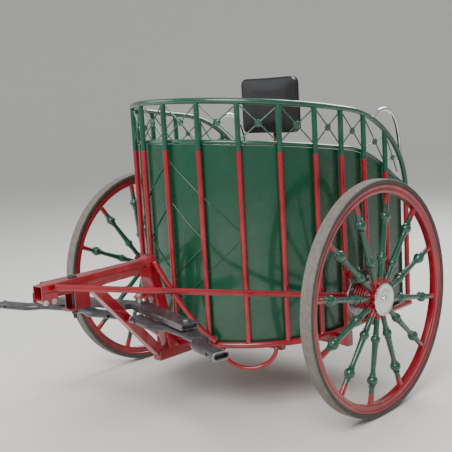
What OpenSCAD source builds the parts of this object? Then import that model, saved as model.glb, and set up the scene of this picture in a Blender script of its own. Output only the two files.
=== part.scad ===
// Two-wheeled pair-horse driving chariot, steel tube frame.
// +Z up, the chariot travels towards -Y, +X is the driver's left-hand (near) side.

/* [Wheels] */
// outer diameter of the solid rubber tyre
wheel_d = 1080; // [900:10:1300]
// width of the tyre tread
tyre_w = 60; // [40:1:80]
// radial thickness of the tyre
tyre_t = 22; // [12:1:40]
// radial depth of the felloe
rim_depth = 40; // [30:1:60]
// number of spokes in each wheel
spokes = 12; // [8:1:16]
// track, wheel centre to wheel centre
track = 1588; // [1400:10:1900]
// radius of the outer spoke balls
ball_r = 25; // [15:0.5:30]
// distance from the axle to the outer spoke balls
ball_at = 373; // [300:1:420]
// radius of the inner spoke beads
bead_r = 22; // [12:0.5:25]
// distance from the axle to the inner spoke beads
bead_at = 186; // [150:1:250]
// turn of the near wheel's first spoke back from upright
near_phase = 10.7; // [0:0.1:30]
// turn of the far wheel's first spoke forward from upright
far_phase = 8; // [0:0.1:30]

/* [Hubs and brakes] */
// radius of the hub drum that carries the spokes
drum_r = 62; // [50:1:90]
// radius of the polished hub cap
cap_r = 74; // [50:1:90]
// diameter of the stub axle in the hub
spindle_d = 30; // [20:1:45]
// radial running clearance of the hub on its stub axle
run_gap = 0.05; // [0.02:0.01:0.1]
// radius of the brake disc
disc_r = 92; // [80:1:140]
// thickness of the brake disc
disc_t = 5; // [3:0.5:10]

/* [Body] */
// half width of the body at the stave centres
body_hw = 556; // [450:1:650]
// depth of the curved front, from the end of the straight sides
nose_d = 531; // [350:1:700]
// where the curved front ends, behind the axle
nose_y = 19; // [-150:1:200]
// the rear posts, behind the axle
rear_post_y = 637; // [500:1:800]
// height of the base ring's centre
ring_z = 349; // [250:1:450]
// diameter of the base ring tube
ring_d = 30; // [20:1:45]
// diameter of the staves and gallery posts
stave_d = 25; // [15:1:35]
// stave bays on each side, from the front centre to the rear post
bays = 8; // [5:1:12]
// height of the middle rail at the front
mid_z0 = 1287; // [1000:1:1500]
// fall of the middle rail for each millimetre to the rear
mid_fall = 0.12; // [0:0.01:0.3]
// extra droop of the middle rail at its rear end
mid_droop = 180; // [50:5:300]
// diameter of the middle rail
mid_d = 20; // [14:1:30]
// height of the top rail at the front
top_z0 = 1470; // [1200:1:1700]
// fall of the top rail for each millimetre to the rear
top_fall = 0.126; // [0:0.01:0.3]
// diameter of the top rail
top_d = 27; // [20:1:40]
// where both rails start to sweep down, behind the axle
sweep_y = 150; // [0:5:350]
// height where the top rail turns into the rear post
top_end_z = 960; // [700:5:1200]
// how far the green paint comes down below the middle rail
paint_drop = 36; // [20:1:120]
// thickness of the body sheet
sheet_t = 2; // [1:0.5:6]
// thickness of the floor board
deck_t = 15; // [8:1:30]
// diameter of the lattice wires on the front of the body
wire_d = 5; // [3:0.5:8]
// diameter of the crossed gallery rods
rod_d = 6; // [4:0.5:10]
// diameter of the gallery rosettes
rosette_d = 34; // [20:1:50]
// diameter of the grab handles
handle_d = 21; // [16:1:30]

/* [Drawbar] */
// side of the square drawbar tube
chord_s = 60; // [40:1:90]
// wall of the drawbar tubes
tube_wall = 4; // [2:0.5:8]
// front end of the drawbar, ahead of the axle
tip_y = -1262; // [-1500:1:-1000]
// height of the drawbar's centre at its tip
tip_z = 732; // [500:1:900]
// height of the drawbar's centre at the upright
chord_z = 742; // [500:1:950]
// top of the upright, ahead of the axle
upright_y = -678; // [-800:1:-600]
// side of the inclined brace tube
brace_s = 44; // [30:1:60]
// diameter of the round stays from tip to axle
stay_d = 27; // [20:1:40]
// diameter of the round diagonals beside the upright
diag_d = 25; // [18:1:40]
// diameter of the pole pin
pin_d = 16; // [10:1:25]
// distance of the pole pin ahead of the axle
pin_y = -1088; // [-1150:1:-950]

/* [Hitch] */
// distance of the evener's pivot ahead of the axle
evener_y = -728; // [-745:1:-715]
// half span of the evener
evener_half = 443; // [350:1:550]
// width of the evener bar, front to back
evener_w = 76; // [50:1:90]
// height of the evener bar
evener_h = 26; // [18:1:40]
// height of the evener's underside
evener_z = 548; // [500:1:600]
// forward sweep of the evener's arms, in degrees
arm_sweep = 15; // [0:1:25]
// half length of each singletree
tree_half = 362; // [280:1:400]
// width of a singletree, front to back
tree_w = 70; // [40:1:90]
// height of a singletree
tree_h = 28; // [18:1:36]
// diameter of the trace holes in the singletrees
trace_d = 14; // [8:1:18]
// diameter of the pivot bolts
bolt_d = 16; // [10:1:20]

/* [Seat] */
// width of the driver's seat
seat_w = 400; // [300:5:500]
// height of the seat cushion's underside
seat_z = 1030; // [800:5:1100]
// underside of the backrest
back_z = 1276; // [1150:5:1350]
// height of the backrest pad
back_h = 288; // [150:5:400]
// thickness of the pads
pad_t = 52; // [30:1:90]
// where the seat post stands, behind the axle
post_y = 290; // [200:5:400]

/* [Hidden] */
gap = 0.3;
wr = wheel_d / 2;
hz = wr;
tx = track / 2;
rim_or = wr - tyre_t - gap;
rim_ir = rim_or - rim_depth;
rr = ring_d / 2;
sr = stave_d / 2;
qp = (body_hw + nose_d) * 90 * PI / 360;
side_len = qp + rear_post_y - nose_y;
pitch = side_len / bays;
nose_front = nose_y - nose_d;
mid_off = -(sr + gap + mid_d / 2);
wire_off = -(sr + gap + wire_d / 2);
sheet_off = wire_off - wire_d / 2 - gap;
deck_top = ring_z + 7;
lug_front = tip_y - 2;
rear_end = rear_post_y + 18;
frame_y = -(lug_front + rear_end) / 2;
hang_x = body_hw + rr + 43;
hang_w = 40;
hang_t = 18;
beam_top = ring_z - rr - gap;
beam_h = 50;
low_z = beam_top - beam_h;
slope_c = (chord_z + 1 - tip_z) / (upright_y + 10 - tip_y);
low_y = -558;
tree_x = evener_half - 30;
disc_x = tx - 106;
drop_t = top_z0 - top_fall * (rear_post_y - nose_front) - top_end_z;
shaft_r = spindle_d / 2;

red = [0.72, 0.06, 0.1];
green = [0.02, 0.3, 0.22];
steel = [0.75, 0.76, 0.78];
dark = [0.24, 0.24, 0.28];

// plan position at signed length s along the body outline, o outside the stave line
function plan_x(s, o) = let(t = 90 * min(abs(s), qp) / qp) sign(s) * (body_hw + o) * sin(t);
function plan_y(s, o) = let(t = 90 * min(abs(s), qp) / qp)
  nose_y - (nose_d + o) * cos(t) + max(abs(s) - qp, 0);
function plan_n(s) = let(t = 90 * min(abs(s), qp) / qp, v = [sign(s) * sin(t) / body_hw, -cos(t) / nose_d])
  v / norm(v);
function plan_deg(s) = let(n = plan_n(s)) atan2(n[0], -n[1]);
function late(y) = max(y - sweep_y, 0) / (rear_post_y - sweep_y);
function mid_z(y) = mid_z0 - mid_fall * (y - nose_front) - mid_droop * pow(late(y), 2);
function top_z(y) = top_z0 - top_fall * (y - nose_front) - drop_t * (1 - sqrt(1 - pow(min(late(y), 1), 2)));
function unit(v) = v / norm(v);
function disc_pts(r, n) = [for (i = [0:n - 1]) [r * cos(360 * i / n), r * sin(360 * i / n)]];
function oval_pts(w, h, n) = [for (i = [0:n - 1]) let(a = -90 + 180 * i / (n - 1))
    [w / 2 - h / 2 + h / 2 * cos(a), h / 2 * sin(a)],
  for (i = [0:n - 1]) let(a = 90 + 180 * i / (n - 1)) [-w / 2 + h / 2 + h / 2 * cos(a), h / 2 * sin(a)]];

// closed sweep of section sec along path; sides holds each ring's first axis
module sweep(path, sec, sides) {
  n = len(path);
  m = len(sec);
  pts = [for (i = [0:n - 1])
    let(t = unit(path[min(i + 1, n - 1)] - path[max(i - 1, 0)]),
        s0 = is_num(sides[0]) ? sides : sides[i],
        s = unit(s0 - (s0 * t) * t), u = cross(t, s))
    for (q = sec) path[i] + q[0] * s + q[1] * u];
  faces = concat([[for (j = [m - 1:-1:0]) j]], [[for (j = [0:m - 1]) (n - 1) * m + j]],
    [for (i = [0:n - 2]) for (j = [0:m - 1]) let(k = (j + 1) % m)
      each [[i * m + j, i * m + k, (i + 1) * m + k], [i * m + j, (i + 1) * m + k, (i + 1) * m + j]]]);
  polyhedron(pts, [for (f = faces) [for (j = [len(f) - 1:-1:0]) f[j]]], convexity = 8);
}
module tube(path, d, sides, n = 12) sweep(path, disc_pts(d / 2, n), sides);

// square bar from [y, z] point a to b in the centre plane, with ends run on by e
module bar(a, b, w, h, e = 0, wall = 0) {
  l = norm(b - a);
  translate([0, a[0], a[1]]) rotate([atan2(b[1] - a[1], b[0] - a[0]), 0, 0])
    difference() {
      translate([-w / 2, -e, -h / 2]) cube([w, l + 2 * e, h]);
      if (wall > 0) translate([-w / 2 + wall, -e - 1, -h / 2 + wall])
        cube([w - 2 * wall, l + 2 * e + 2, h - 2 * wall]);
    }
}
// round rod between two points
module rod(a, b, d) {
  v = b - a;
  translate(a) rotate([0, acos(v[2] / norm(v)), atan2(v[1], v[0])]) cylinder(d = d, h = norm(v), $fn = 48);
}
module at_side(s) { mirror([s < 0 ? 1 : 0, 0, 0]) children(); }

up_a = [upright_y, chord_z + 36];
up_b = [low_y, beam_top - 10];
module upright_env(g = 0) bar(up_a, up_b, chord_s + 2 * g, chord_s + 2 * g);
chord_a = [tip_y, tip_z];
chord_b = [upright_y + 10, chord_z + 1];
module chord_env(g = 0) bar(chord_a, chord_b, chord_s + 2 * g, chord_s + 2 * g, 20);
module beam_env(g = 0) translate([-25 - g, -650 - g, low_z - g]) cube([50 + 2 * g, 650 + 2 * g, beam_h + 2 * g]);

module base_ring() color(red) {
  p = concat([for (i = [-12:12]) let(s = i * qp / 12) [plan_x(s, 0), plan_y(s, 0), ring_z]]);
  q = concat([[-body_hw, rear_end, ring_z]], p, [[body_hw, rear_end, ring_z]]);
  tube(q, ring_d, [0, 0, 1], 16);
}
module rear_crossbar() color(red)
  translate([-(body_hw - rr - gap), rear_post_y, ring_z]) rotate([0, 90, 0])
    cylinder(d = ring_d, h = 2 * (body_hw - rr - gap), $fn = 48);

module deck_shape(o) polygon(concat(
  [for (i = [-12:12]) let(s = i * qp / 12) [plan_x(s, o), plan_y(s, o)]],
  [[body_hw + o, rear_post_y - rr - gap], [-(body_hw + o), rear_post_y - rr - gap]]));
module floor_board() color([0.35, 0.3, 0.24])
  translate([0, 0, deck_top - deck_t]) linear_extrude(deck_t) deck_shape(-rr - 2 * gap);

// cross bearers under the floor; the middle one carries the axle hangers
module floor_bearers() color(red) {
  translate([-(hang_x - gap), -hang_w / 2, beam_top - hang_w]) cube([2 * (hang_x - gap), hang_w, hang_w]);
  difference() {
    translate([-body_hw * 0.78, nose_front + 247, beam_top - 30]) cube([2 * body_hw * 0.78, 30, 30]);
    beam_env(gap);
  }
  translate([-body_hw, 315, beam_top - 30]) cube([2 * body_hw, 30, 30]);
  translate([-25, hang_w / 2, low_z]) cube([50, rear_post_y - hang_w / 2 - 40, beam_h]);
}

// one stave, coped over the ring tube below
module stave(s) translate([plan_x(s, 0), plan_y(s, 0), 0]) difference() {
  translate([0, 0, ring_z]) cylinder(d = stave_d, h = mid_z(plan_y(s, 0)) - paint_drop - ring_z, $fn = 48);
  rotate([0, 0, plan_deg(s)]) translate([-30, 0, ring_z]) rotate([0, 90, 0])
    cylinder(r = rr + gap + 0.4, h = 60, $fn = 48);
}
module staves() color(red) for (k = [-(bays - 1):bays - 1]) stave(k * pitch);
module rear_posts() color(red) for (x = [-body_hw, body_hw]) translate([x, rear_post_y, 0]) difference() {
  translate([0, 0, ring_z]) cylinder(d = top_d, h = top_end_z - 30 - gap - ring_z, $fn = 48);
  translate([0, -30, ring_z]) rotate([-90, 0, 0]) cylinder(r = rr + gap, h = 60, $fn = 48);
}
// upper end of a stave, coped under the top rail
module gallery_post(s) {
  y = plan_y(s, 0);
  dy = 4;
  m = abs(s) > qp ? (top_z(y + dy) - top_z(y - dy)) / (2 * dy) :
    (top_z(plan_y(abs(s) + dy, 0)) - top_z(plan_y(abs(s) - dy, 0))) / (2 * dy);
  translate([plan_x(s, 0), y, 0]) difference() {
    translate([0, 0, mid_z(y) - paint_drop + 0.1])
      cylinder(d = stave_d, h = top_z(y) - mid_z(y) + paint_drop, $fn = 48);
    translate([0, 0, top_z(y)]) rotate([0, 0, plan_deg(s)]) rotate([0, -sign(s) * atan(m), 0])
      translate([-45, 0, 0]) rotate([0, 90, 0])
        cylinder(d = top_d + 2 * gap + (abs(s) > qp + 2 * pitch ? 3.4 : 1.2), h = 90, $fn = 48);
  }
}
module gallery_posts() color(green) for (k = [-(bays - 1):bays - 1]) gallery_post(k * pitch);

mid_end = rear_post_y - top_d / 2 - 12;
mid_half = [for (i = [0:12]) i * qp / 12, for (i = [1:14]) qp + i * (mid_end - nose_y) / 14];
function mid_side(y) = mid_off * (1 - pow(max(y - mid_end + 60, 0) / 60, 2) * 0.7);
module mid_rail() color(green) {
  h = [for (s = mid_half) let(o = s > qp ? mid_side(plan_y(s, 0)) : mid_off)
    [plan_x(s, o), plan_y(s, o), mid_z(plan_y(s, 0))]];
  n = [for (s = mid_half) [plan_n(s)[0], plan_n(s)[1], 0]];
  l = len(h);
  tube(concat([for (i = [l - 1:-1:1]) [-h[i][0], h[i][1], h[i][2]]], h), mid_d,
    concat([for (i = [l - 1:-1:1]) [-n[i][0], n[i][1], 0]], n), 12);
}
module top_rail() color(green) {
  a = [for (i = [0:12]) i * qp / 12];
  h = concat([for (s = a) [plan_x(s, 0), plan_y(s, 0), top_z(plan_y(s, 0))]],
    [for (y = [nose_y + 40:45:sweep_y - 20]) [body_hw, y, top_z(y)]],
    [for (f = [0:7.5:90]) let(y = sweep_y + (rear_post_y - sweep_y) * sin(f)) [body_hw, y, top_z(y)]],
    [[body_hw, rear_post_y, top_end_z - 30]]);
  n = concat([for (s = a) [plan_n(s)[0], plan_n(s)[1], 0]], [for (i = [len(a):len(h) - 1]) [1, 0, 0]]);
  l = len(h);
  tube(concat([for (i = [l - 1:-1:1]) [-h[i][0], h[i][1], h[i][2]]], h), top_d,
    concat([for (i = [l - 1:-1:1]) [-n[i][0], n[i][1], 0]], n), 14);
}
// crossed rods and a rosette in each gallery bay
module gallery_lattice() color(green) for (sg = [-1, 1]) for (k = [0:bays - 1]) {
  s1 = k * pitch;
  s2 = (k + 1) * pitch;
  p1 = [sg * plan_x(s1, 0), plan_y(s1, 0)];
  p2 = [sg * plan_x(s2, 0), plan_y(s2, 0)];
  last = k == bays - 1;
  d = unit(p2 - p1);
  a = p1 + d * (sr + 2.8);
  b = p2 - d * (last ? 78 : sr + 2.8);
  ma = (top_z(a[1] - 5) - top_z(a[1] + 5)) / 10;
  za = top_z(a[1]) - (top_d / 2 + 7) * sqrt(1 + ma * ma);
  zb = last ? mid_z(p2[1] - 78) + 22 : mid_z(p2[1]) + mid_d / 2 + 8;
  zc = mid_z(p1[1]) + mid_d / 2 + 8;
  zd = last ? top_z(p2[1] - 78) - 34 : top_z(p2[1]) - top_d / 2 - (k == bays - 2 ? 18 : 10);
  rod([a[0], a[1], za], [b[0], b[1], zb], rod_d);
  rod([a[0], a[1], zc], [b[0], b[1], zd], rod_d);
  w = (za - zc) / ((za - zc) + (zd - zb));
  m = a + (b - a) * w;
  translate([m[0], m[1], za + (zb - za) * w]) rotate([0, 0, atan2(d[1], d[0])]) rotate([90, 0, 0])
    cylinder(d = last ? rosette_d * 0.8 : rosette_d, h = 8, center = true, $fn = 48);
}
// nested diamonds of wire behind the front staves, one diamond per pair of levels
wire_sets = [[0, 1203, 2, 862], [0, 1010, 1, 826], [2, 845, 0, 511], [1, 814, 0, 655]];
module lattice_wires() color(green) for (w = wire_sets) for (sg = [-1, 1]) {
  n = 8;
  tube([for (i = [0:n]) let(f = i / n, s = sg * (w[0] + (w[2] - w[0]) * f) * pitch)
      [plan_x(s, wire_off), plan_y(s, wire_off), w[1] + (w[3] - w[1]) * f]], wire_d, [0, 0, 1], 8);
}
module lattice_clips() color([0.8, 0.25, 0.3])
  for (c = [[0, 1203], [0, 1010], [0, 655], [0, 511], [1, 1032], [1, 820], [1, 678], [2, 853]])
    for (sg = c[0] == 0 ? [1] : [-1, 1]) {
      s = sg * c[0] * pitch;
      n = plan_n(s);
      translate([plan_x(s, 0) + n[0] * (sr + gap), plan_y(s, 0) + n[1] * (sr + gap), c[1]])
        rotate([0, 0, plan_deg(s)]) rotate([90, 0, 0]) cylinder(d1 = 9, d2 = 5, h = 3, $fn = 24);
    }

// body sheet inside the staves, its top edge under the middle rail
module side_panel() color(green) {
  back = rear_post_y - rr - 2 - nose_y;
  st = concat([for (i = [8:-1:1]) -qp - back * i / 8], [for (i = [-12:12]) i * qp / 12],
    [for (i = [1:8]) qp + back * i / 8]);
  n = len(st);
  z0 = deck_top + gap;
  pts = [for (s = st) let(y = plan_y(s, 0), m = mid_fall + 2 * mid_droop * late(y) / (rear_post_y - sweep_y),
      zt = mid_z(y) - mid_d / 2 * 1.02 * sqrt(1 + m * m) - 2 * gap,
      xo = plan_x(s, sheet_off), yo = plan_y(s, sheet_off),
      xi = plan_x(s, sheet_off - sheet_t), yi = plan_y(s, sheet_off - sheet_t))
    each [[xo, yo, z0], [xi, yi, z0], [xi, yi, zt], [xo, yo, zt]]];
  faces = concat([[0, 1, 2], [0, 2, 3]], [for (f = [[0, 2, 1], [0, 3, 2]]) [for (v = f) (n - 1) * 4 + v]],
    [for (i = [0:n - 2]) for (j = [0:3]) let(k = (j + 1) % 4)
      each [[i * 4 + j, (i + 1) * 4 + k, i * 4 + k], [i * 4 + j, (i + 1) * 4 + j, (i + 1) * 4 + k]]]);
  polyhedron(pts, faces, convexity = 8);
}

handle_off = body_hw - top_d / 2 - gap - handle_d / 2 + 1;
handle_pts = [[368, 1325], [388, 1335], [412, 1349], [440, 1363], [470, 1371], [503, 1372], [532, 1364],
  [558, 1348], [582, 1322], [601, 1290], [614, 1252], [622, 1212], [626, 1172], [626, 1132], [620, 1096]];
module grab_handle() color(steel)
  tube([for (p = handle_pts) [handle_off, rear_post_y - 637 + p[0], top_z0 - 1470 + p[1]]], handle_d, [1, 0, 0], 12);
module left_grab_handle() grab_handle();
module right_grab_handle() mirror([1, 0, 0]) grab_handle();

module pin_hole(g = 0) translate([0, pin_y, 500]) cylinder(r = pin_d / 2 + g, h = 400, $fn = 48);
module drawbar_chord() color(red) difference() {
  bar(chord_a, chord_b, chord_s, chord_s, 0, tube_wall);
  upright_env(gap);
  pin_hole(run_gap);
}
module drawbar_upright() color(red) difference() {
  bar(up_a, up_b, chord_s, chord_s, 0);
  translate([-40, -760, low_z - 20]) cube([80, 250, beam_top + gap - low_z + 20]);
}
module drawbar_brace() color(red) difference() {
  bar([-1007, 727], [-615, 300], brace_s, brace_s);
  chord_env(gap);
  upright_env(gap);
  beam_env(gap);
}
module drawbar_beam() color(red) translate([-25, -650, low_z]) cube([50, 650 - hang_w / 2 - gap, beam_h]);

// corner plates of the drawbar truss
module drawbar_gussets() color(red) {
  for (x = [-chord_s / 2 - 5 - gap, chord_s / 2 + gap]) translate([x, 0, 0]) rotate([90, 0, 90])
    linear_extrude(5) polygon([[-660, 680], [-742, 704], [-742, 732], [-660, 742]]);
}
module pole_bracket() color(red) {
  w = chord_s / 2 + gap;
  for (x = [-w - 6, w]) translate([x, pin_y - 19, 632]) cube([6, 78, 92]);
  difference() {
    translate([-w, pin_y - 40, 632]) cube([2 * w, 80, 6]);
    pin_hole(run_gap);
  }
}
module tip_lugs() color(red) {
  w = chord_s / 2 + gap;
  for (x = [-w - 6, w]) difference() {
    translate([x, 0, 0]) rotate([90, 0, 90]) linear_extrude(6)
      polygon([[lug_front, 730], [lug_front, 690], [lug_front + 8, 682], [-1198, 682], [-1188, 692], [-1188, 730]]);
    for (y = [-1251, -1210]) translate([x - 1, y, 694]) rotate([0, 90, 0]) cylinder(r = 5 + run_gap, h = 8, $fn = 32);
  }
}
module tip_bolts() color([0.9, 0.9, 0.88]) for (y = [-1251, -1210]) translate([0, y, 694]) rotate([0, 90, 0]) {
  cylinder(r = 5, h = chord_s + 30, center = true, $fn = 32);
  for (z = [-(chord_s / 2 + 6 + 2 * gap) - 8, chord_s / 2 + 6 + 2 * gap]) translate([0, 0, z]) cylinder(r = 10.5, h = 8, $fn = 6);
}
pin_top = tip_z + slope_c * (pin_y - tip_y) + chord_s / 2 + 2;
module pole_pin() color(dark) translate([0, pin_y, 0]) {
  translate([0, 0, 590]) cylinder(d = pin_d, h = pin_top + 2 - 590, $fn = 48);
  translate([0, 0, pin_top]) cylinder(d1 = 40, d2 = 30, h = 9, $fn = 48);
  difference() {
    translate([0, 0, 609]) cylinder(r = 14, h = 22, $fn = 6);
    for (a = [0:60:120]) rotate([0, 0, a + 30]) translate([-20, -2, 608]) cube([40, 4, 8]);
  }
  translate([-20, 0, 612]) rotate([0, 90, 0]) cylinder(d = 3.6, h = 40, $fn = 24);
}

diag_pts = [[46, -668, 760], [72, -640, 685], [98, -611, 611], [126, -580, 540], [152, -550, 478],
  [176, -524, 430], [198, -503, 398], [216, -488, 379], [222.2, -482.9, 372.6]];
module diagonal() color(red) tube(diag_pts, diag_d, [0.7, 0.7, 0], 12);
module left_diagonal() diagonal();
module right_diagonal() mirror([1, 0, 0]) diagonal();
stay_end = [hang_x + hang_t / 2, -hang_w / 2 - gap - 4, 537];
module side_stay() color(red) tube([[46, -1205, 750], [300, -822, 689], [455, -597, 650], [480, -557, 643],
  [497, -515, 636], [515, -435, 621], stay_end], stay_d, [0, 0, 1], 14);
module left_side_stay() side_stay();
module right_side_stay() mirror([1, 0, 0]) side_stay();

module evener_bracket() color(red) difference() {
  union() {
    for (z = [evener_z - 2 - 8, evener_z + evener_h + 26]) {
      translate([-28, evener_y, z]) cube([56, 104, 8]);
      translate([0, evener_y, z]) cylinder(r = 28, h = 8, $fn = 64);
    }
  }
  upright_env(gap);
  translate([0, evener_y, 500]) cylinder(r = bolt_d / 2 + run_gap, h = 150, $fn = 48);
}
module evener_bolt() color(steel) translate([0, evener_y, 0]) {
  translate([0, 0, evener_z - 28]) cylinder(d = bolt_d, h = evener_h + 28 + 36, $fn = 48);
  translate([0, 0, evener_z - 22]) cylinder(r = 13, h = 11.7, $fn = 6);
  translate([0, 0, evener_z + evener_h + gap]) cylinder(r = 12, h = 25.4, $fn = 48);
  translate([0, 0, evener_z + evener_h + 34 + gap]) cylinder(r = 13, h = 9, $fn = 6);
}

// upright square tube at each side that carries the stub axle and caliper
module axle_hangers() color(red) for (s = [-1, 1]) at_side(s) {
  difference() {
    translate([hang_x, -hang_w / 2, low_z + 8]) cube([hang_t, hang_w, 640 - low_z]);
    translate([hang_x - 1, 0, hz]) rotate([0, 90, 0]) cylinder(r = shaft_r + run_gap, h = hang_t + 2, $fn = 48);
  }
  translate([hang_x + hang_t, 2, 614]) cube([disc_x - 17 - gap - hang_x - hang_t, 10, 32]);
}
module spindles() color(steel) for (s = [-1, 1]) at_side(s) translate([hang_x - 6, 0, hz]) rotate([0, 90, 0]) {
  cylinder(r = shaft_r, h = tx + 19 - hang_x + 6, $fn = 64);
  cylinder(r = shaft_r + 7, h = 5.5, $fn = 6);
  translate([0, 0, 6 + hang_t + gap]) cylinder(r = shaft_r + 7, h = disc_x - hang_x - hang_t - 2 * gap, $fn = 64);
  translate([0, 0, tx + 8 - hang_x + 6]) cylinder(r = 21, h = 9, $fn = 6);
}
module calipers() color([0.1, 0.1, 0.11]) for (s = [-1, 1]) at_side(s) difference() {
  union() {
    translate([disc_x - 17, -22, hz + 60]) cube([41, 72, 52]);
    translate([disc_x - 17, -8, hz + 112]) cube([41, 44, 8]);
  }
  translate([disc_x - 2, -40, hz + 52]) cube([disc_t + 4, 110, disc_r + 3 - 52]);
}
hose_pts = [[disc_x - 8, 51.5, 640], [disc_x - 13, 68, 648], [disc_x - 25, 76, 635], [disc_x - 42, 68, 597],
  [hang_x + 18, 42, 545], [hang_x + 12, 27, 490], [hang_x + 10, 25, 400], [hang_x + 8, 26, 330],
  [hang_x - 4, 26, 305], [hang_x - 34, 24.2, 300], [hang_x - 230, 24.2, 300], [80, 24.2, 300]];
module brake_lines() color([0.05, 0.05, 0.05]) for (s = [-1, 1]) at_side(s) tube(hose_pts, 7, [0.3, 1, 0.1], 8);

// stirrup-shaped hoop under the near front of the base ring
hoop_a = 26;
hoop_b = 52;
function hoop_pt(t, z) = [body_hw * sin(t), nose_y - nose_d * cos(t), z];
module step_hoop() color(red) {
  pa = hoop_pt(hoop_a, 0);
  pb = hoop_pt(hoop_b, 0);
  c = (pa + pb) / 2;
  d = (pb - pa) / 2;
  zt = ring_z - rr - gap - 1.2;
  tube([for (a = [0:12:180]) [c[0] - d[0] * cos(a), c[1] - d[1] * cos(a), zt - (a == 0 || a == 180 ? 0 : 98 * sin(a))]],
    20, [d[1], -d[0], 0] / norm(d), 12);
}

module seat_post() color(red) translate([-15, post_y - 15, deck_top + gap]) cube([30, 30, back_z + back_h - 120 - deck_top]);
module seat_pan() color([0.12, 0.12, 0.13]) {
  f = post_y - 15 - gap;
  translate([-seat_w / 2 + 20, f - 300, seat_z - 4]) cube([seat_w - 40, 290, 4 - gap]);
  translate([-20, f - 260, seat_z - 44 - gap]) cube([40, 260, 40]);
  translate([-seat_w / 2 + 25, f - 4, back_z + 20]) cube([seat_w - 50, 4, back_h - 150]);
}
module pad(w, d, h, r) translate([-w / 2, 0, 0]) union() {
  translate([r, 0, 0]) cube([w - 2 * r, d, h]);
  translate([0, 0, r]) cube([w, d, h - 2 * r]);
  for (x = [r, w - r]) for (z = [r, h - r]) translate([x, 0, z]) rotate([-90, 0, 0]) cylinder(r = r, h = d, $fn = 48);
}
module seat_cushion() color([0.03, 0.03, 0.035]) translate([0, post_y - 45, seat_z]) {
  r = 45;
  d = 290;
  translate([-seat_w / 2 + r, -d, 0]) cube([seat_w - 2 * r, d, pad_t + 14]);
  translate([-seat_w / 2, -d + r, 0]) cube([seat_w, d - 2 * r, pad_t + 14]);
  for (x = [-1, 1]) for (y = [-d + r, -r]) translate([x * (seat_w / 2 - r), y, 0]) cylinder(r = r, h = pad_t + 14, $fn = 48);
}
module back_cushion() color([0.03, 0.03, 0.035])
  translate([0, post_y - 15 - 2 * gap - 4 - pad_t, back_z]) pad(seat_w - 36, pad_t, back_h, 34);

pv = [130, -360, 400];
module pedal_bracket() color(red) {
  difference() {
    for (x = [-26, 20]) translate([pv[0] + x, pv[1] - 16, deck_top + gap]) cube([6, 32, 60]);
    translate([pv[0] - 40, pv[1], pv[2]]) rotate([0, 90, 0]) cylinder(r = 6 + run_gap, h = 80, $fn = 32);
  }
  translate([pv[0] - 20 + gap, pv[1] - 16, deck_top + gap]) cube([40 - 2 * gap, 32, 5]);
}
module brake_pedal() color([0.15, 0.15, 0.16]) {
  translate([pv[0] - 30, pv[1], pv[2]]) rotate([0, 90, 0]) cylinder(r = 6, h = 60, $fn = 32);
  difference() {
    translate(pv) rotate([-25, 0, 0]) union() {
      translate([-8, -8, -12]) cube([16, 16, 140]);
      translate([-17, 0, 0]) rotate([0, 90, 0]) cylinder(r = 14, h = 34, $fn = 48);
      translate([-42, 8, 92]) cube([84, 6, 76]);
      for (z = [100:12:160]) translate([-38, 14, z]) cube([76, 3, 5]);
    }
    translate([pv[0] - 50, pv[1] - 40, deck_top - 20]) cube([100, 100, 22]);
  }
}
module master_cylinder() color([0.55, 0.56, 0.58]) {
  translate([pv[0], -448, 432]) rotate([-90, 0, 0]) cylinder(r = 16, h = 52, $fn = 48);
  translate([pv[0] - 14, -444, 440]) cube([28, 36, 34]);
  translate([pv[0] - 4, -398, 428]) cube([8, 31, 8]);
  translate([pv[0] - 18, -440, deck_top + gap]) cube([36, 34, 70]);
}

// wheel pieces, built round the X axis at the wheel's own centre, outer side towards +X
module spin() rotate([0, 90, 0]) children();
module wheel_at(s, ph) at_side(s) translate([tx, 0, hz]) rotate([-s * ph * s, 0, 0]) children();
module tyre() color([0.42, 0.4, 0.39]) spin() rotate_extrude($fn = 128) {
  c = 8;
  translate([wr - tyre_t, -tyre_w / 2]) square([tyre_t - c, tyre_w]);
  translate([wr - c - 0.01, -tyre_w / 2 + c]) square([c + 0.01, tyre_w - 2 * c]);
  for (y = [-tyre_w / 2 + c, tyre_w / 2 - c]) translate([wr - c, y]) circle(c, $fn = 32);
}
module rim(n) color(red) {
  spin() rotate_extrude($fn = 128) polygon([[rim_or, -25], [rim_or, 25], [rim_or - 9, 25], [rim_or - 12, 20],
    [rim_or - 18, 18], [rim_or - 21, 21], [rim_ir + 8, 21], [rim_ir, 16], [rim_ir, -16], [rim_ir + 8, -21],
    [rim_or - 21, -21], [rim_or - 18, -18], [rim_or - 12, -20], [rim_or - 9, -25]]);
  for (k = [0:n - 1]) rotate([k * 360 / n, 0, 0]) translate([0, 0, rim_ir - 48]) cylinder(r1 = 12.5, r2 = 13.5, h = 50, $fn = 32);
}
module spoke() {
  a = drum_r + 34.1;
  e = rim_ir - 48.1;
  ball_c = min(ball_at, e - ball_r - 8);
  translate([0, 0, a]) cylinder(r1 = 13, r2 = 13, h = bead_at - a, $fn = 32);
  translate([0, 0, bead_at]) sphere(bead_r, $fn = 48);
  translate([0, 0, bead_at]) cylinder(r1 = 14.5, r2 = 11.5, h = ball_c - bead_at - 40, $fn = 32);
  translate([0, 0, ball_c - 41]) cylinder(r1 = 11.5, r2 = 13.5, h = 41, $fn = 32);
  translate([0, 0, ball_c]) sphere(ball_r, $fn = 48);
  for (z = [-ball_r - 4, ball_r - 1]) translate([0, 0, ball_c + z]) cylinder(r = 16, h = 5, $fn = 32);
  translate([0, 0, ball_c]) cylinder(r = 12.5, h = e - ball_c, $fn = 32);
}
module spoke_set(n) color(green) for (k = [0:n - 1]) rotate([k * 360 / n, 0, 0]) spoke();
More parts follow.
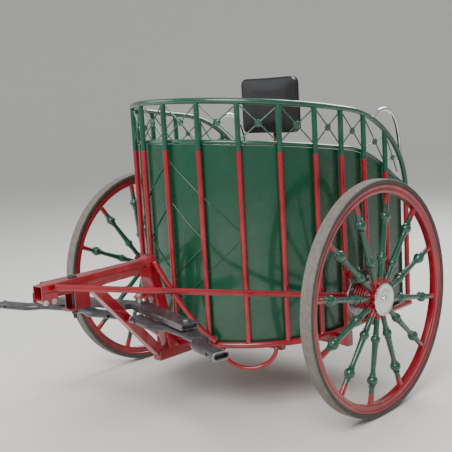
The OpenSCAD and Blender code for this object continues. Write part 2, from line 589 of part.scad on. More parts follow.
module hub(n) color(red) difference() {
  union() {
    translate([-30, 0, 0]) spin() cylinder(r = drum_r, h = 57.5, $fn = 96);
    translate([-100.7, 0, 0]) spin() cylinder(r = 50, h = 71, $fn = 96);
    for (x = [-96, -82, -68, -54]) translate([x, 0, 0]) spin() cylinder(r = 60, h = 7, $fn = 96);
    for (k = [0:n - 1]) rotate([k * 360 / n, 0, 0]) translate([0, 0, drum_r - 8]) cylinder(r1 = 15.5, r2 = 13.2, h = 42, $fn = 32);
  }
  translate([-110, 0, 0]) spin() cylinder(r = shaft_r + run_gap, h = 140, $fn = 64);
  translate([5, 0, 0]) spin() cylinder(r = 24, h = 24, $fn = 64);
}
module hub_cap() color([0.85, 0.86, 0.88]) translate([27.5 + gap, 0, 0]) spin() {
  cylinder(r = cap_r, h = 4, $fn = 96);
  translate([0, 0, 4]) cylinder(r1 = cap_r, r2 = cap_r - 5, h = 4, $fn = 96);
  translate([0, 0, 8]) cylinder(r = 20, h = 5, $fn = 64);
  translate([0, 0, 13]) cylinder(r = 11, h = 5, $fn = 6);
}
module disc() color(steel) translate([-106, 0, 0]) spin() difference() {
  cylinder(r = disc_r, h = disc_t, $fn = 96);
  translate([0, 0, -1]) cylinder(r = shaft_r + 9, h = disc_t + 2, $fn = 64);
  for (k = [0:11]) rotate([0, 0, k * 30]) for (q = [[70, 4], [82, 4]]) translate([q[0], q[0] == 82 ? 12 : 0, -1])
    cylinder(r = q[1], h = disc_t + 2, $fn = 24);
}
module left_tyre() wheel_at(1, near_phase) tyre();
module left_rim() wheel_at(1, near_phase) rim(spokes);
module left_spokes() wheel_at(1, near_phase) spoke_set(spokes);
module left_hub() wheel_at(1, near_phase) hub(spokes);
module left_hub_cap() wheel_at(1, near_phase) hub_cap();
module left_disc() wheel_at(1, near_phase) disc();
module right_tyre() wheel_at(-1, -far_phase) tyre();
module right_rim() wheel_at(-1, -far_phase) rim(spokes);
module right_spokes() wheel_at(-1, -far_phase) spoke_set(spokes);
module right_hub() wheel_at(-1, -far_phase) hub(spokes);
module right_hub_cap() wheel_at(-1, -far_phase) hub_cap();
module right_disc() wheel_at(-1, -far_phase) disc();

// swept evener: two open box arms that meet at the pivot
arm_len = evener_half / cos(arm_sweep);
function arm_pt(l, o) = [l * cos(arm_sweep) + o * sin(arm_sweep), evener_y - l * sin(arm_sweep) + o * cos(arm_sweep)];
tree_l = tree_x / cos(arm_sweep);
module evener_bar() color(dark) difference() {
  h2 = evener_w / 2;
  translate([0, 0, evener_z]) linear_extrude(evener_h) polygon([arm_pt(arm_len, -h2), arm_pt(arm_len, h2),
    [0, evener_y + h2 / cos(arm_sweep)], [-arm_pt(arm_len, h2)[0], arm_pt(arm_len, h2)[1]],
    [-arm_pt(arm_len, -h2)[0], arm_pt(arm_len, -h2)[1]], [-46, evener_y - h2 / cos(arm_sweep) - 46 * tan(arm_sweep)],
    [-33, evener_y - 30], [33, evener_y - 30], [46, evener_y - h2 / cos(arm_sweep) - 46 * tan(arm_sweep)]]);
  for (s = [-1, 1]) at_side(s) {
    translate([0, 0, evener_z + 5]) linear_extrude(evener_h - 10)
      polygon([arm_pt(arm_len - 14, -h2 + 6), arm_pt(arm_len + 5, -h2 + 6), arm_pt(arm_len + 5, h2 - 6), arm_pt(arm_len - 14, h2 - 6)]);
    translate([arm_pt(tree_l, 0)[0], arm_pt(tree_l, 0)[1], evener_z - 1]) cylinder(r = 6 + run_gap, h = evener_h + 2, $fn = 32);
    translate([arm_pt(arm_len * 0.62, 0)[0], arm_pt(arm_len * 0.62, 0)[1], evener_z + evener_h / 2])
      rotate([0, 0, -arm_sweep]) rotate([90, 0, 0]) cylinder(r = 6, h = evener_w + 40, center = true, $fn = 32);
  }
  translate([0, evener_y, evener_z - 1]) cylinder(r = bolt_d / 2 + run_gap, h = evener_h + 2, $fn = 48);
}
tree_top = evener_z - 8;
module evener_pins() color([0.85, 0.85, 0.84]) for (s = [-1, 1]) at_side(s) translate([arm_pt(tree_l, 0)[0], arm_pt(tree_l, 0)[1], 0]) {
  translate([0, 0, tree_top - tree_h - 12]) cylinder(r = 6, h = tree_h + 20 + evener_h + 5, $fn = 32);
  translate([0, 0, tree_top + gap]) cylinder(r = 16, h = 8 - 2 * gap, $fn = 48);
  translate([0, 0, evener_z + evener_h + gap]) cylinder(r = 12, h = 9, $fn = 6);
  translate([0, 0, tree_top - tree_h - 10.3]) cylinder(r = 11, h = 10, $fn = 6);
}
// bowed singletree of flat oval tube: middle straight, both ends stepped forward
function tree_y(x) = let(a = abs(x), q = min(max((a - 115) / 95, 0), 1)) -46 * (q * q * (3 - 2 * q)) - 8 * min(a / 115, 1);
module tree_bar() color(dark) difference() {
  xs = [for (i = [-22:22]) i * tree_half / 22];
  sweep([for (x = xs) [x, tree_y(x), tree_top - tree_h / 2]], oval_pts(tree_w, tree_h, 7), [0, 1, 0]);
  for (s = [-1, 1]) {
    translate([s * (tree_half - 9), tree_y(tree_half), tree_top - tree_h / 2]) scale(1)
      translate([-11, 0, 0]) sweep([[0, 0, 0], [22, 0, 0]], oval_pts(tree_w - 12, tree_h - 10, 7), [0, 1, 0]);
    translate([s * (tree_half - 52), tree_y(tree_half), tree_top - tree_h / 2]) rotate([90, 0, 0])
      cylinder(d = trace_d, h = tree_w + 20, center = true, $fn = 48);
  }
  translate([0, 0, tree_top - tree_h - 1]) cylinder(r = 6 + run_gap, h = tree_h + 2, $fn = 32);
}
module singletree(s) at_side(s) translate([arm_pt(tree_l, 0)[0], arm_pt(tree_l, 0)[1], 0]) rotate([0, 0, -arm_sweep]) tree_bar();
module left_singletree() singletree(1);
module right_singletree() singletree(-1);

// everything is drawn about the axle line, then moved so the footprint's centre is the origin
module placed() translate([0, frame_y, 0]) children();
placed() base_ring();
placed() rear_crossbar();
placed() floor_board();
placed() floor_bearers();
placed() staves();
placed() rear_posts();
placed() gallery_posts();
placed() mid_rail();
placed() top_rail();
placed() gallery_lattice();
placed() lattice_wires();
placed() lattice_clips();
placed() side_panel();
placed() left_grab_handle();
placed() right_grab_handle();
placed() drawbar_chord();
placed() drawbar_upright();
placed() drawbar_brace();
placed() drawbar_beam();
placed() drawbar_gussets();
placed() pole_bracket();
placed() tip_lugs();
placed() tip_bolts();
placed() pole_pin();
placed() left_diagonal();
placed() right_diagonal();
placed() left_side_stay();
placed() right_side_stay();
placed() evener_bracket();
placed() evener_bolt();
placed() axle_hangers();
placed() spindles();
placed() calipers();
placed() brake_lines();
placed() step_hoop();
placed() seat_post();
placed() seat_pan();
placed() seat_cushion();
placed() back_cushion();
placed() pedal_bracket();
placed() master_cylinder();
placed() brake_pedal();
placed() left_tyre();
placed() left_rim();
placed() left_spokes();
placed() left_hub();
placed() left_hub_cap();
placed() left_disc();
placed() right_tyre();
placed() right_rim();
placed() right_spokes();
placed() right_hub();
placed() right_hub_cap();
placed() right_disc();
placed() evener_bar();
placed() evener_pins();
placed() left_singletree();
placed() right_singletree();
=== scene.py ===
import math
import bpy
import bmesh
import numpy as np
from mathutils import Matrix, Vector
from mathutils.bvhtree import BVHTree


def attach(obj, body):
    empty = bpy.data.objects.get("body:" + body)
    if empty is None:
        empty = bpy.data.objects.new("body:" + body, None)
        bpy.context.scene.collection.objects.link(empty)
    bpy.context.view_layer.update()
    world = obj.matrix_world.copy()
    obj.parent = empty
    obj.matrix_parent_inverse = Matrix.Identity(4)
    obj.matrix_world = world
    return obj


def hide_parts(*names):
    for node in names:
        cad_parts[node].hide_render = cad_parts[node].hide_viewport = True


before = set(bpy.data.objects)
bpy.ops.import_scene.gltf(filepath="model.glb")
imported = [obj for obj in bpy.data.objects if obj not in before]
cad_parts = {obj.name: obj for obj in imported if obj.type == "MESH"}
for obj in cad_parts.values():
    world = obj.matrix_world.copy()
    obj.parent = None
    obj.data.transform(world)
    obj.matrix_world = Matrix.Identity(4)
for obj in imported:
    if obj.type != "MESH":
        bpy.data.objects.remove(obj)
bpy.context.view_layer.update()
shift = np.array([0.0, 0.3045, 0.0])  # from the axle line to the frame's origin

# paint and finishes
def toLinear(code):
    # sRGB hex code to the linear colour that shader sockets take
    v = np.array([int(code[i:i + 2], 16) for i in (1, 3, 5)]) / 255
    lin = np.where(v <= 0.04045, v / 12.92, ((v + 0.055) / 1.055) ** 2.4)
    return (*[float(c) for c in lin], 1.0)


def addNode(tree, kind, inputs=None, links=None, **settings):
    # one shader node with its settings, fixed inputs, and links from other nodes' sockets
    node = tree.nodes.new(kind)
    for key, value in settings.items():
        setattr(node, key, value)
    for key, value in (inputs or {}).items():
        node.inputs[key].default_value = value
    for key, socket in (links or {}).items():
        tree.links.new(socket, node.inputs[key])
    return node


def ramp(tree, fac, stops):
    node = addNode(tree, "ShaderNodeValToRGB", links={"Fac": fac})
    while len(node.color_ramp.elements) < len(stops):
        node.color_ramp.elements.new(0.5)
    for element, (at, colour) in zip(node.color_ramp.elements, stops):
        element.position = at
        element.color = colour if isinstance(colour, tuple) else (colour, colour, colour, 1.0)
    return node


def startMaterial(name):
    mat = bpy.data.materials.new(name)
    mat.use_nodes = True
    tree = mat.node_tree
    shader = tree.nodes["Principled BSDF"]
    place = addNode(tree, "ShaderNodeTexCoord")
    return mat, tree, shader, place.outputs["Object"]


def noise(tree, place, scale, detail=3.0, rough=0.5, kind="FBM"):
    return addNode(tree, "ShaderNodeTexNoise", {"Scale": scale, "Detail": detail, "Roughness": rough},
                   {"Vector": place}, noise_type=kind)


def mixColour(tree, fac, a, b, blend="MIX"):
    node = addNode(tree, "ShaderNodeMix", data_type="RGBA", blend_type=blend)
    for key, value in ((0, fac), (6, a), (7, b)):
        if isinstance(value, (tuple, float)):
            node.inputs[key].default_value = value
        else:
            tree.links.new(value, node.inputs[key])
    return node.outputs[2]


def bump(tree, height, strength, distance, after=None):
    node = addNode(tree, "ShaderNodeBump", {"Strength": strength, "Distance": distance}, {"Height": height})
    if after:
        tree.links.new(after, node.inputs["Normal"])
    return node.outputs["Normal"]


enamelSettings = {"peelMm": 3.2, "dustMm": 90.0, "chipMm": 14.0}


def coachEnamel(name, base, deep, chip, rough=0.2, dust=0.1, coat=0.75, dent=0.0):
    # brushed-out or sprayed coach enamel over primed steel: deep gloss colour under a clear skin,
    # faint orange peel, road dust in soft patches, a few small chips down to primer
    mat, tree, shader, place = startMaterial(name)
    cloud = noise(tree, place, 1000 / enamelSettings["dustMm"], 5.0, 0.6)
    tone = mixColour(tree, ramp(tree, cloud.outputs["Fac"], [(0.35, 0.0), (0.7, 1.0)]).outputs["Color"],
                     toLinear(base), toLinear(deep))
    spots = noise(tree, place, 1000 / enamelSettings["chipMm"], 6.0, 0.7)
    chips = ramp(tree, spots.outputs["Fac"], [(0.735, 0.0), (0.755, 1.0)])
    dustMap = ramp(tree, noise(tree, place, 21.0, 6.0, 0.65).outputs["Fac"], [(0.45, 0.0), (0.85, dust)])
    dusted = mixColour(tree, dustMap.outputs["Color"], tone, toLinear("#a59f93"))
    tree.links.new(mixColour(tree, chips.outputs["Color"], dusted, toLinear(chip)), shader.inputs["Base Color"])
    spread = addNode(tree, "ShaderNodeMapRange", {"To Min": rough, "To Max": rough + 0.22},
                     {"Value": cloud.outputs["Fac"]})
    tree.links.new(spread.outputs["Result"], shader.inputs["Roughness"])
    shader.inputs["Coat Weight"].default_value = coat
    shader.inputs["Coat Roughness"].default_value = 0.06
    shader.inputs["IOR"].default_value = 1.5
    peel = noise(tree, place, 1000 / enamelSettings["peelMm"], 2.0)
    normal = bump(tree, peel.outputs["Fac"], 0.05, 0.0004)
    if dent:
        # sheet steel is never quite flat: wide, very shallow waves that bend the reflections
        wave = noise(tree, place, 3.4, 1.0)
        normal = bump(tree, wave.outputs["Fac"], dent, 0.02, normal)
    tree.links.new(normal, shader.inputs["Normal"])
    return mat


def brightMetal(name, colour, rough, grainMm, stretch=(1.0, 1.0, 1.0), smear=0.12, depth=0.0001):
    # bare or plated metal: fine drawn or turned grain, breath-like stains that dull the shine
    mat, tree, shader, place = startMaterial(name)
    turned = addNode(tree, "ShaderNodeMapping", {"Scale": stretch}, {"Vector": place})
    grain = noise(tree, turned.outputs["Vector"], 1000 / grainMm, 3.0, 0.6)
    stain = noise(tree, place, 26.0, 5.0, 0.6)
    tree.links.new(mixColour(tree, ramp(tree, stain.outputs["Fac"], [(0.4, 0.0), (0.75, 0.45)]).outputs["Color"],
                             toLinear(colour), toLinear("#8b8780")), shader.inputs["Base Color"])
    shader.inputs["Metallic"].default_value = 1.0
    spread = addNode(tree, "ShaderNodeMapRange", {"To Min": rough, "To Max": rough + smear},
                     {"Value": stain.outputs["Fac"]})
    tree.links.new(spread.outputs["Result"], shader.inputs["Roughness"])
    tree.links.new(bump(tree, grain.outputs["Fac"], 0.25, depth), shader.inputs["Normal"])
    return mat


def tyreRubber(name, base, pale, road):
    # hard solid rubber, bleached grey by the sun, road grit pressed in, fine scuffs along the tread
    mat, tree, shader, place = startMaterial(name)
    scuff = noise(tree, place, 48.0, 8.0, 0.7)
    grit = addNode(tree, "ShaderNodeTexVoronoi", {"Scale": 420.0}, {"Vector": place})
    worn = mixColour(tree, ramp(tree, scuff.outputs["Fac"], [(0.38, 0.0), (0.68, 1.0)]).outputs["Color"],
                     toLinear(base), toLinear(pale))
    grey = mixColour(tree, ramp(tree, grit.outputs["Distance"], [(0.05, 0.55), (0.3, 0.0)]).outputs["Color"],
                     worn, toLinear(road))
    tree.links.new(grey, shader.inputs["Base Color"])
    shader.inputs["Roughness"].default_value = 0.82
    normal = bump(tree, grit.outputs["Distance"], 0.25, 0.0006)
    tree.links.new(bump(tree, scuff.outputs["Fac"], 0.3, 0.0012, normal), shader.inputs["Normal"])
    return mat


def grainedVinyl(name, base, light):
    # calendered vinyl seat cover: pebble grain pressed into it, semi-gloss, dust in the hollows
    mat, tree, shader, place = startMaterial(name)
    pebble = addNode(tree, "ShaderNodeTexVoronoi", {"Scale": 620.0, "Randomness": 0.9}, {"Vector": place})
    cloud = noise(tree, place, 14.0, 4.0)
    tree.links.new(mixColour(tree, ramp(tree, cloud.outputs["Fac"], [(0.4, 0.0), (0.8, 0.6)]).outputs["Color"],
                             toLinear(base), toLinear(light)), shader.inputs["Base Color"])
    spread = addNode(tree, "ShaderNodeMapRange", {"To Min": 0.36, "To Max": 0.55}, {"Value": cloud.outputs["Fac"]})
    tree.links.new(spread.outputs["Result"], shader.inputs["Roughness"])
    shader.inputs["Sheen Weight"].default_value = 0.08
    tree.links.new(bump(tree, pebble.outputs["Distance"], 0.5, 0.0005), shader.inputs["Normal"])
    return mat


def stainedPly(name, base, dark):
    # stained birch plywood, grain lines running fore and aft, sealed, walked dull in patches
    mat, tree, shader, place = startMaterial(name)
    run = addNode(tree, "ShaderNodeMapping", {"Scale": (46.0, 2.2, 46.0)}, {"Vector": place})
    grain = noise(tree, run.outputs["Vector"], 1.6, 8.0, 0.62)
    tread = noise(tree, place, 6.0, 4.0)
    tree.links.new(mixColour(tree, ramp(tree, grain.outputs["Fac"], [(0.35, 0.0), (0.65, 1.0)]).outputs["Color"],
                             toLinear(base), toLinear(dark)), shader.inputs["Base Color"])
    spread = addNode(tree, "ShaderNodeMapRange", {"To Min": 0.38, "To Max": 0.7}, {"Value": tread.outputs["Fac"]})
    tree.links.new(spread.outputs["Result"], shader.inputs["Roughness"])
    tree.links.new(bump(tree, grain.outputs["Fac"], 0.3, 0.0006), shader.inputs["Normal"])
    return mat


def castSkin(name, base, light, rough, metal):
    # sand-cast skin: coarse pores and a mottled grey
    mat, tree, shader, place = startMaterial(name)
    pores = noise(tree, place, 520.0, 4.0, 0.7)
    cloud = noise(tree, place, 60.0, 4.0)
    tree.links.new(mixColour(tree, cloud.outputs["Fac"], toLinear(base), toLinear(light)), shader.inputs["Base Color"])
    shader.inputs["Metallic"].default_value = metal
    shader.inputs["Roughness"].default_value = rough
    tree.links.new(bump(tree, pores.outputs["Fac"], 0.5, 0.0006), shader.inputs["Normal"])
    return mat


def moulded(name, base, rough):
    # extruded or moulded rubber and plain black plastic: soft sheen, slight bloom
    mat, tree, shader, place = startMaterial(name)
    bloom = noise(tree, place, 70.0, 5.0)
    tree.links.new(mixColour(tree, ramp(tree, bloom.outputs["Fac"], [(0.4, 0.0), (0.9, 0.5)]).outputs["Color"],
                             toLinear(base), toLinear("#4a4a4c")), shader.inputs["Base Color"])
    shader.inputs["Roughness"].default_value = rough
    tree.links.new(bump(tree, bloom.outputs["Fac"], 0.15, 0.0005), shader.inputs["Normal"])
    return mat


finish = {
    "red": coachEnamel("crimsonCoachEnamel", "#9c001c", "#7a0016", "#4d302d", 0.2, 0.05),
    "green": coachEnamel("bottleGreenCoachEnamel", "#00523c", "#003d2d", "#33423d", 0.17, 0.06),
    "sheet": coachEnamel("bottleGreenSheetEnamel", "#004a32", "#003f2b", "#2c3b36", 0.16, 0.02, 0.5, 0.04),
    "grey": coachEnamel("slateGreyEnamel", "#38363f", "#2b2931", "#8d8d92", 0.3, 0.22, 0.4),
    "blackSteel": coachEnamel("blackEnamelledSteel", "#121214", "#1a1a1d", "#5a5a5c", 0.34, 0.16, 0.3),
    "zinc": brightMetal("brightZincPlate", "#cfd2d2", 0.28, 0.9, smear=0.2),
    "chrome": brightMetal("polishedChrome", "#e4e6e8", 0.05, 2.0, smear=0.1, depth=0.00003),
    "cap": brightMetal("spunAluminium", "#e3e4e6", 0.16, 0.6, (0.15, 1.0, 1.0), 0.14, 0.00006),
    "disc": brightMetal("groundDiscSteel", "#aeb2b6", 0.26, 0.7, (0.2, 1.0, 1.0), 0.2),
    "tyre": tyreRubber("sunBleachedTyreRubber", "#67635e", "#7d7974", "#524f4b"),
    "sidewall": tyreRubber("tyreSidewallRubber", "#423f3d", "#575350", "#353230"),
    "hose": moulded("hoseRubber", "#141415", 0.55),
    "iron": castSkin("blackCastIron", "#16171a", "#26272a", 0.5, 0.2),
    "alloy": castSkin("castAlloy", "#85878a", "#9a9c9f", 0.42, 0.85),
    "ply": stainedPly("stainedPly", "#5c4630", "#3f2e1f"),
    "vinyl": grainedVinyl("grainedBlackVinyl", "#151517", "#232326"),
    "thread": moulded("blackStitchThread", "#0d0d0e", 0.7),
    "bare": brightMetal("wornBareSteel", "#b9babd", 0.34, 0.8, smear=0.3),
}
print("finishes made", len(finish))


# surfaces
def skin(rings, mat=0, closed=False):
    # rings[i, j] is point j of section i: quads join each section to the next round the section,
    # and a fan closes both ends unless the path itself is closed
    n, m = rings.shape[:2]
    verts = rings.reshape(-1, 3)
    rows = np.arange(n if closed else n - 1)[:, None]
    cols = np.arange(m)[None, :]
    a = rows * m + cols
    b = rows * m + (cols + 1) % m
    c = ((rows + 1) % n) * m + (cols + 1) % m
    d = ((rows + 1) % n) * m + cols
    quads = np.stack([a, b, c, d], -1).reshape(-1, 4)
    faces = [quads]
    if not closed:
        mids = np.stack([rings[0].mean(0), rings[-1].mean(0)])
        k = len(verts)
        j = np.arange(m)
        faces.append(np.stack([(j + 1) % m, j, np.full(m, k)], -1))
        base = (n - 1) * m
        faces.append(np.stack([base + j, base + (j + 1) % m, np.full(m, k + 1)], -1))
        verts = np.vstack([verts, mids])
    return verts, faces, mat


def circle(m, phase=0.0):
    t = np.arange(m) / m * 2 * math.pi + phase
    return np.cos(t), np.sin(t)


def resample(points, n):
    # points spread evenly by length along a Catmull-Rom curve through the given ones
    p = np.asarray(points, float)
    ext = np.vstack([2 * p[0] - p[1], p, 2 * p[-1] - p[-2]])
    t = np.linspace(0, 1, 25)[None, :, None]
    p0, p1, p2, p3 = (ext[i:len(ext) - 3 + i][:, None, :] for i in range(4))
    fine = 0.5 * (2 * p1 + (p2 - p0) * t + (2 * p0 - 5 * p1 + 4 * p2 - p3) * t ** 2
                  + (3 * p1 - p0 - 3 * p2 + p3) * t ** 3)
    fine = fine.reshape(-1, p.shape[1])
    run = np.concatenate([[0], np.cumsum(np.linalg.norm(np.diff(fine[:, :3], axis=0), axis=1))])
    s = np.linspace(0, run[-1], n)
    return np.stack([np.interp(s, run, fine[:, k]) for k in range(p.shape[1])], -1)


def frames(path, ref):
    # unit vectors across a path: side is the reference with its part along the path taken off
    tangent = np.gradient(path, axis=0)
    tangent /= np.linalg.norm(tangent, axis=1)[:, None]
    ref = np.broadcast_to(np.asarray(ref, float), path.shape)
    side = ref - (ref * tangent).sum(1)[:, None] * tangent
    side /= np.linalg.norm(side, axis=1)[:, None]
    return tangent, side, np.cross(tangent, side)


def tube(path, radius, ref=(0, 0, 1), m=20, mat=0, domed=False):
    # round section of the given radius carried along the path
    path = np.asarray(path, float)
    tangent, side, up = frames(path, ref)
    r = np.broadcast_to(np.asarray(radius, float), (len(path),))
    co, si = circle(m)
    rings = path[:, None] + r[:, None, None] * (side[:, None] * co[None, :, None] + up[:, None] * si[None, :, None])
    if domed:
        rings = np.concatenate([rings[:1] * 0.6 + path[:1, None] * 0.4 - tangent[:1, None] * radius * 0.25, rings,
                                rings[-1:] * 0.6 + path[-1:, None] * 0.4 + tangent[-1:, None] * radius * 0.25])
    return skin(rings, mat)


def straight(a, b, n=2):
    return np.linspace(np.asarray(a, float), np.asarray(b, float), n)


def turned(profile, origin, axis, m=32, mat=0):
    # profile rows are (distance along the axis, radius) swung round the axis
    p = np.asarray(profile, float)
    axis = np.asarray(axis, float) / np.linalg.norm(axis)
    ref = np.array([1.0, 0, 0]) if abs(axis[0]) < 0.9 else np.array([0, 1.0, 0])
    side = ref - ref @ axis * axis
    side /= np.linalg.norm(side)
    up = np.cross(axis, side)
    co, si = circle(m)
    ring = side[None] * co[:, None] + up[None] * si[:, None]
    rings = np.asarray(origin, float) + p[:, 0, None, None] * axis + np.maximum(p[:, 1], 1e-5)[:, None, None] * ring[None]
    return skin(rings, mat)


def hoopProfile(section, origin, m=160, mat=0):
    # closed section rows (x, radius) swung round the X axis: a tyre or a felloe
    p = np.asarray(section, float)
    t = np.arange(m) / m * 2 * math.pi
    rings = np.stack([np.broadcast_to(p[None, :, 0], (m, len(p))),
                      p[None, :, 1] * np.sin(t)[:, None], p[None, :, 1] * np.cos(t)[:, None]], -1)
    return skin(rings + np.asarray(origin, float), mat, closed=True)


def roundedBox(w, h, r, n=5):
    # rounded rectangle, w by h with corner radius r
    q = np.linspace(0, math.pi / 2, n)
    corners = [(w / 2 - r, h / 2 - r, 0), (-w / 2 + r, h / 2 - r, 1), (-w / 2 + r, -h / 2 + r, 2), (w / 2 - r, -h / 2 + r, 3)]
    return np.concatenate([np.stack([x + r * np.cos(q + k * math.pi / 2), y + r * np.sin(q + k * math.pi / 2)], -1)
                           for x, y, k in corners])


def prism(path, section, ref, mat=0):
    # any flat section carried along a path, first section axis along ref
    path = np.asarray(path, float)
    tangent, side, up = frames(path, ref)
    return skin(path[:, None] + side[:, None] * section[None, :, :1] + up[:, None] * section[None, :, 1:], mat)


def openTube(path, outer, inner, ref, depth, mat=0, ends=(True, True)):
    # tube whose ends are open to a depth: the section runs in along the inner wall and closes there
    path = np.asarray(path, float)
    tangent, side, up = frames(path, ref)
    body = path[:, None] + side[:, None] * outer[None, :, :1] + up[:, None] * outer[None, :, 1:]
    rows = [body]
    for k, sign in ((0, 1), (-1, -1)):
        if ends[k]:
            lip = path[k] + side[k] * inner[:, :1] + up[k] * inner[:, 1:]
            far = lip + sign * tangent[k] * depth
            rows = [np.stack([far, lip])] + rows if k == 0 else rows + [np.stack([lip, far])]
    return skin(np.concatenate(rows), mat)


def weld(centre, normal, radius, size=0.004, mat=0, m=40):
    # small fillet bead round a joint, its height rippled by the welder's steps
    centre, normal = np.asarray(centre, float), np.asarray(normal, float) / np.linalg.norm(normal)
    ref = np.array([1.0, 0, 0]) if abs(normal[0]) < 0.9 else np.array([0, 1.0, 0])
    side = ref - ref @ normal * normal
    side /= np.linalg.norm(side)
    up = np.cross(normal, side)
    t = np.arange(m) / m * 2 * math.pi
    out = side[None] * np.cos(t)[:, None] + up[None] * np.sin(t)[:, None]
    q = np.arange(6) / 6 * 2 * math.pi
    beat = size * (1 + 0.12 * np.sin(t * max(6, round(radius / 0.0011))))
    rings = centre + out[:, None] * (radius + (beat[:, None] * np.cos(q)[None])[..., None]) \
        + normal * (beat[:, None] * np.sin(q)[None])[..., None]
    return skin(rings, mat, closed=True)


def hexHead(origin, axis, across, height, mat=0):
    # hexagon with its corners turned off at the top face
    r = across / 2 / math.cos(math.pi / 6)
    axis = np.asarray(axis, float) / np.linalg.norm(axis)
    ref = np.array([0, 0, 1.0]) if abs(axis[2]) < 0.9 else np.array([1.0, 0, 0])
    side = ref - ref @ axis * axis
    side /= np.linalg.norm(side)
    up = np.cross(axis, side)
    t = np.arange(24) / 24 * 2 * math.pi
    hexR = r * math.cos(math.pi / 6) / np.cos((t % (math.pi / 3)) - math.pi / 6)
    out = side[None] * np.cos(t)[:, None] + up[None] * np.sin(t)[:, None]
    low = np.minimum(hexR, 10) * 1.0
    rows = [(0, low * 0.97), (height * 0.04, low), (height * 0.82, low), (height, np.minimum(low, across / 2 * 0.98)),
            (height, low * 0 + across * 0.3)]
    rings = np.stack([np.asarray(origin) + h * axis + out * rr[:, None] for h, rr in rows])
    return skin(rings, mat)


def ball(centre, radius, mat=0, m=20, n=12, flat=1.0, axis=(0, 0, 1)):
    q = np.linspace(-math.pi / 2, math.pi / 2, n)
    return turned(np.stack([radius * flat * np.sin(q), radius * np.cos(q)], -1), centre, axis, m, mat)


def slab(outline, z0, z1, axes, mat=0):
    # flat plate: outline rows are 2-D points in the first two axes, thickness along the third
    p = np.asarray(outline, float)
    a, b, c = (np.asarray(v, float) for v in axes)
    flat = p[:, :1] * a + p[:, 1:] * b
    rings = np.stack([flat + z0 * c, flat + z1 * c])
    n = len(p)
    verts = rings.reshape(-1, 3)
    j = np.arange(n)
    quads = np.stack([j, (j + 1) % n, n + (j + 1) % n, n + j], -1)
    return verts, [quads, [list(range(n))[::-1]], [list(range(n, 2 * n))]], mat


def makePiece(name, parts, mats, body, nodes=(), bevel=None, angle=38, move=True):
    # one mesh from several closed surfaces, each with its finish, riding on a CAD body
    verts, faces, index, base = [], [], [], 0
    for v, fs, mat in parts:
        verts.append(v)
        for f in fs:
            rows = (f + base).tolist() if isinstance(f, np.ndarray) else [[i + base for i in r] for r in f]
            faces += rows
            index += [mat] * len(rows)
        base += len(v)
    allVerts = np.vstack(verts) + (shift if move else 0)
    mesh = bpy.data.meshes.new(name)
    mesh.from_pydata(allVerts.tolist(), [], faces)
    for key in mats:
        mesh.materials.append(finish[key])
    mesh.polygons.foreach_set("material_index", np.array(index, np.int32))
    tidy = bmesh.new()
    tidy.from_mesh(mesh)
    bmesh.ops.remove_doubles(tidy, verts=tidy.verts, dist=1e-6)
    bmesh.ops.recalc_face_normals(tidy, faces=tidy.faces)
    tidy.to_mesh(mesh)
    tidy.free()
    mesh.polygons.foreach_set("use_smooth", np.ones(len(mesh.polygons), bool))
    mesh.set_sharp_from_angle(angle=math.radians(angle))
    obj = bpy.data.objects.new(name, mesh)
    bpy.context.scene.collection.objects.link(obj)
    if bevel:
        edge = obj.modifiers.new("softEdges", "BEVEL")
        edge.width, edge.segments, edge.limit_method = bevel, 2, "ANGLE"
        edge.angle_limit = math.radians(32)
    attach(obj, body)
    if nodes:
        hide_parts(*nodes)
    return obj


def softenedCopy(node, mats, body, width=0.0012, extra=()):
    # a fabricated or machined piece: the CAD solid with its sharp edges broken, plus added detail
    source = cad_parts[node]
    mesh = source.data.copy()
    mesh.materials.clear()
    tidy = bmesh.new()
    tidy.from_mesh(mesh)
    bmesh.ops.remove_doubles(tidy, verts=tidy.verts, dist=2e-6)
    bmesh.ops.dissolve_limit(tidy, angle_limit=math.radians(0.6), verts=tidy.verts, edges=tidy.edges)
    tidy.to_mesh(mesh)
    tidy.free()
    for key in mats:
        mesh.materials.append(finish[key])
    mesh.polygons.foreach_set("material_index", np.zeros(len(mesh.polygons), np.int32))
    mesh.polygons.foreach_set("use_smooth", np.ones(len(mesh.polygons), bool))
    mesh.set_sharp_from_angle(angle=math.radians(30))
    obj = bpy.data.objects.new("soft_" + node, mesh)
    bpy.context.scene.collection.objects.link(obj)
    edge = obj.modifiers.new("brokenEdges", "BEVEL")
    edge.width, edge.segments, edge.limit_method = width, 2, "ANGLE"
    edge.angle_limit = math.radians(34)
    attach(obj, body)
    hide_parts(node)
    if extra:
        makePiece("detail_" + node, list(extra), mats, body)
    return obj


# body of the chariot
body = {"halfWidth": 0.556, "noseDepth": 0.531, "noseY": 0.019, "rearPostY": 0.637, "ringZ": 0.349, "ringR": 0.015,
        "staveR": 0.0125, "bays": 8, "midZ": 1.287, "midFall": 0.12, "midDroop": 0.18, "midR": 0.010,
        "topZ": 1.470, "topFall": 0.126, "topR": 0.0135, "sweepY": 0.15, "topEndZ": 0.96, "paintDrop": 0.036}
noseLength = (body["halfWidth"] + body["noseDepth"]) * math.pi / 4
noseFront = body["noseY"] - body["noseDepth"]
bay = (noseLength + body["rearPostY"] - body["noseY"]) / body["bays"]


def planPoint(s, out=0.0):
    # quarter ellipses at the front then straight sides, at signed length s, moved outwards by out
    s = np.asarray(s, float)
    t = np.minimum(np.abs(s), noseLength) / noseLength * math.pi / 2
    return np.stack([np.sign(s) * (body["halfWidth"] + out) * np.sin(t),
                     body["noseY"] - (body["noseDepth"] + out) * np.cos(t) + np.maximum(np.abs(s) - noseLength, 0)], -1)


def planNormal(s):
    s = np.asarray(s, float)
    t = np.minimum(np.abs(s), noseLength) / noseLength * math.pi / 2
    v = np.stack([np.sign(s) * np.sin(t) / body["halfWidth"], -np.cos(t) / body["noseDepth"]], -1)
    return v / np.linalg.norm(v, axis=-1, keepdims=True)


